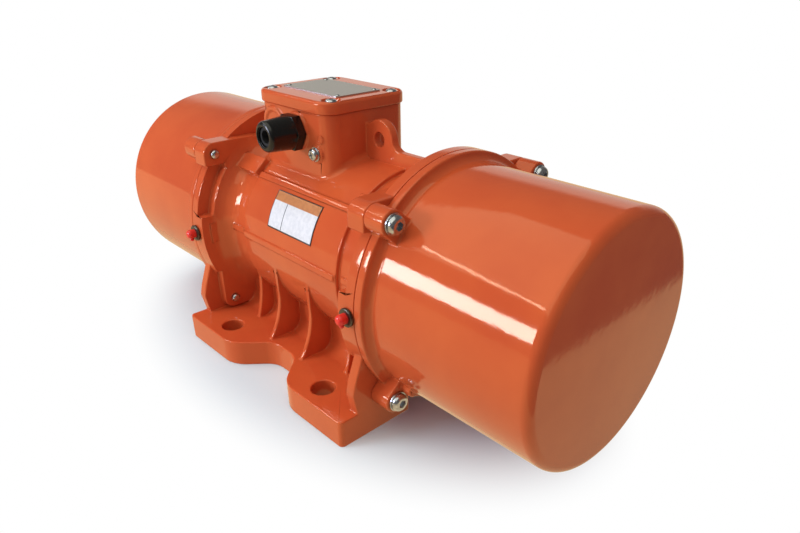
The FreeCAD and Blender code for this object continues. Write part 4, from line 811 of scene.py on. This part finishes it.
# %% Grease caps
knob_radius = 1.6 * MM
collar_height = 2.2 * MM
for side, _ in SIDES:
    low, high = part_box(f"grease_cap_{side}")
    radius = (high.x - low.x) / 2
    length = high.y - low.y
    cap = add_primitive("cylinder", f"red_cap_{side}", vertices=40, radius=radius, depth=length,
                        location=(0, 0, length / 2))
    bpy.ops.object.mode_set(mode="EDIT")
    choose(cap, "EDGE", lambda middle: middle.z > length * 0.99)
    bpy.ops.mesh.bevel(offset=radius * 0.75, segments=7, profile=0.5, affect="EDGES")
    choose(cap, "FACE", lambda middle: middle.z < 1e-6)
    bpy.ops.mesh.inset(thickness=radius * 0.42)
    bpy.ops.mesh.extrude_region_move(TRANSFORM_OT_translate={"value": (0, 0, length * 0.62)})
    bpy.ops.object.mode_set(mode="OBJECT")
    finish_edges(cap, 0.3 * MM, 3, 40)
    top_z = high.z - radius
    settle(cap, ((low.x + high.x) / 2, high.y, top_z), (math.radians(90), 0, 0))
    knob = add_primitive("uv_sphere", "knob", segments=24, ring_count=14, radius=knob_radius,
                         location=((low.x + high.x) / 2, (low.y + high.y) / 2,
                                   low.z + knob_radius))
    bpy.ops.object.shade_smooth()
    settle(knob, knob.location)
    pick(cap, knob)
    bpy.ops.object.join()
    dress(cap, red_polythene, f"grease_cap_{side}", f"grease_cap_{side}")
    collar = add_primitive("cylinder", f"nipple_collar_{side}", vertices=40, radius=6.2 * MM,
                           depth=collar_height, location=(0, 0, collar_height / 2))
    finish_edges(collar, 0.7 * MM, 3)
    settle(collar, ((low.x + high.x) / 2, -disc_radius, top_z), (math.radians(90), 0, 0))
    dress(collar, dark_steel, "frame")
    print(cap.name, len(cap.data.polygons), "faces")

# %% [markdown]
# ## Label
# A glossy film label sits on the barrel: an amber strip along its top, a silver field below,
# a dark line round it and one dark line across the field. It carries no print. The film is
# cut along those lines, and each zone gets its own finish.

# %% Label zones
low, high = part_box("label_plate")
label = rounded_copy("label_film", "label_plate", 0.05 * MM, 1)
line = 0.7 * MM
barrel_radius = 66.5 * MM
left_edge, right_edge = low.x + line, high.x - line
split_share, amber_share = 0.31, 0.27
split = low.x + (high.x - low.x) * split_share


def label_angle(point):
    """How far a point of the label is turned up from level, in radians."""
    return math.atan2(point.z - axis_z, -point.y)


angles = [label_angle(corner.co) for corner in label.data.vertices]
start, end = min(angles), max(angles)
one_line = line / barrel_radius
field_from = start + one_line * 1.4
field_to = end - one_line
amber_from = end - (end - start) * amber_share
pick(label)
bpy.ops.object.mode_set(mode="EDIT")
for x in (left_edge, right_edge, split - line / 2, split + line / 2):
    bpy.ops.mesh.select_all(action="SELECT")
    bpy.ops.mesh.bisect(plane_co=(x, 0, 0), plane_no=(1, 0, 0))
for angle in (field_from, amber_from, field_to):
    bpy.ops.mesh.select_all(action="SELECT")
    bpy.ops.mesh.bisect(plane_co=(0, 0, axis_z), plane_no=(0, math.sin(angle), math.cos(angle)))
bpy.ops.object.mode_set(mode="OBJECT")
dress(label, label_silver, "frame", "label_plate")
label.data.materials.append(label_amber)
label.data.materials.append(label_ink)
counts = [0, 0, 0]
for face in label.data.polygons:
    angle = label_angle(face.center)
    inside = left_edge < face.center.x < right_edge and field_from < angle < field_to
    on_split = abs(face.center.x - split) < line / 2 and angle < amber_from
    face.material_index = 2 if on_split or not inside else 1 if angle > amber_from else 0
    counts[face.material_index] += 1
print("label faces silver, amber, dark:", counts)

# %% [markdown]
# ## Earth mark
# A small plain ring is cast on the box wall above and beside the earth screw.

# %% Earth mark
low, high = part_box("earth_washer")
mark = add_primitive("torus", "earth_mark", major_radius=2.6 * MM, minor_radius=0.35 * MM,
                     major_segments=40, minor_segments=10)
bpy.ops.object.shade_smooth()
pad_height = 1.0 * MM
wall_front = high.y + pad_height
settle(mark, ((low.x + high.x) / 2 + 4.5 * MM, wall_front, high.z + 5.5 * MM),
       (math.radians(90), 0, 0))
dress(mark, enamel, "frame")
print(mark.name, len(mark.data.polygons), "faces")

# %% [markdown]
# ## Floor
# The motor stands on a sheet of white paper. The paper takes the soft shadow, and far from
# the motor it fades into the white background. In reflections the paper is a painted
# reflection, not lit paper: a glowing warm sheet that stops at an edge close to the cover,
# and a painted dark reflection past it, so the flat end mirrors the warm glow below and the dim
# room above.

# %% Floor
oval_half_x, oval_half_y = 0.23, 0.138
# where the painted warm reflection of the paper gives way to the painted dark reflection
painted_reflection_edge = 0.312
bpy.ops.object.select_all(action="DESELECT")
bpy.ops.mesh.primitive_plane_add(size=8, location=(0, 0, 0))
floor = bpy.context.active_object
floor.name = "floor"
paper, tree, shader = new_material("white_paper", Roughness=0.95, Specular_IOR_Level=0.0)
shader.inputs["Base Color"].default_value = (0.67, 0.79, 0.79, 1)
path = add_node(tree, "ShaderNodeLightPath")
place = add_node(tree, "ShaderNodeTexCoord")
oval = add_node(tree, "ShaderNodeMapping", {"Location": (0.08, 0, 0),
                                            "Scale": (1 / oval_half_x, 1 / oval_half_y, 1)},
                {"Vector": place.outputs["Object"]})
reach = add_node(tree, "ShaderNodeVectorMath", {"operation": "LENGTH"}, {0: oval.outputs[0]})
far = add_node(tree, "ShaderNodeMapRange",
               {"interpolation_type": "SMOOTHSTEP", 1: 0.74, 2: 1.14},
               {0: reach.outputs["Value"]})
lift = add_node(tree, "ShaderNodeEmission", {"Color": (1, 1, 1, 1), "Strength": 0.02})
lifted = add_node(tree, "ShaderNodeAddShader", links={0: shader.outputs[0], 1: lift.outputs[0]})
plain = add_node(tree, "ShaderNodeEmission", {"Color": (1, 1, 1, 1), "Strength": 1.0})
faded = add_node(tree, "ShaderNodeMixShader",
                 links={0: far.outputs[0], 1: lifted.outputs[0], 2: plain.outputs[0]})
across = add_node(tree, "ShaderNodeSeparateXYZ", links={0: place.outputs["Object"]})
past_edge = add_node(tree, "ShaderNodeMapRange", {"interpolation_type": "SMOOTHSTEP",
                     1: painted_reflection_edge, 2: painted_reflection_edge + 0.01}, {0: across.outputs["X"]})
# painted reflection: glossy rays see the paper as a glowing warm sheet up to the edge and a dim
# glow past it, lit by no lamp
painted_dark_reflection = add_node(tree, "ShaderNodeEmission", {"Color": (1, 1, 1, 1), "Strength": 0.1})
painted_warm_reflection = add_node(tree, "ShaderNodeEmission", {"Color": (1.0, 0.76, 0.45, 1), "Strength": 0.85})
mirrored = add_node(tree, "ShaderNodeMixShader",
                    links={0: past_edge.outputs[0], 1: painted_warm_reflection.outputs[0], 2: painted_dark_reflection.outputs[0]})
seen = add_node(tree, "ShaderNodeMath", {"operation": "MAXIMUM"},
                {0: path.outputs["Is Camera Ray"], 1: path.outputs["Is Transmission Ray"]})
first = add_node(tree, "ShaderNodeMixShader", links={
    0: path.outputs["Is Glossy Ray"], 1: shader.outputs[0], 2: mirrored.outputs[0]})
last = add_node(tree, "ShaderNodeMixShader",
                links={0: seen.outputs[0], 1: first.outputs[0], 2: faded.outputs[0]})
output = next(item for item in tree.nodes if item.type == "OUTPUT_MATERIAL")
tree.links.new(last.outputs[0], output.inputs["Surface"])
floor.data.materials.append(paper)
print("floor of paper with", len(tree.nodes), "nodes")

# %% View settings
bpy.context.scene.view_settings.view_transform = "Standard"
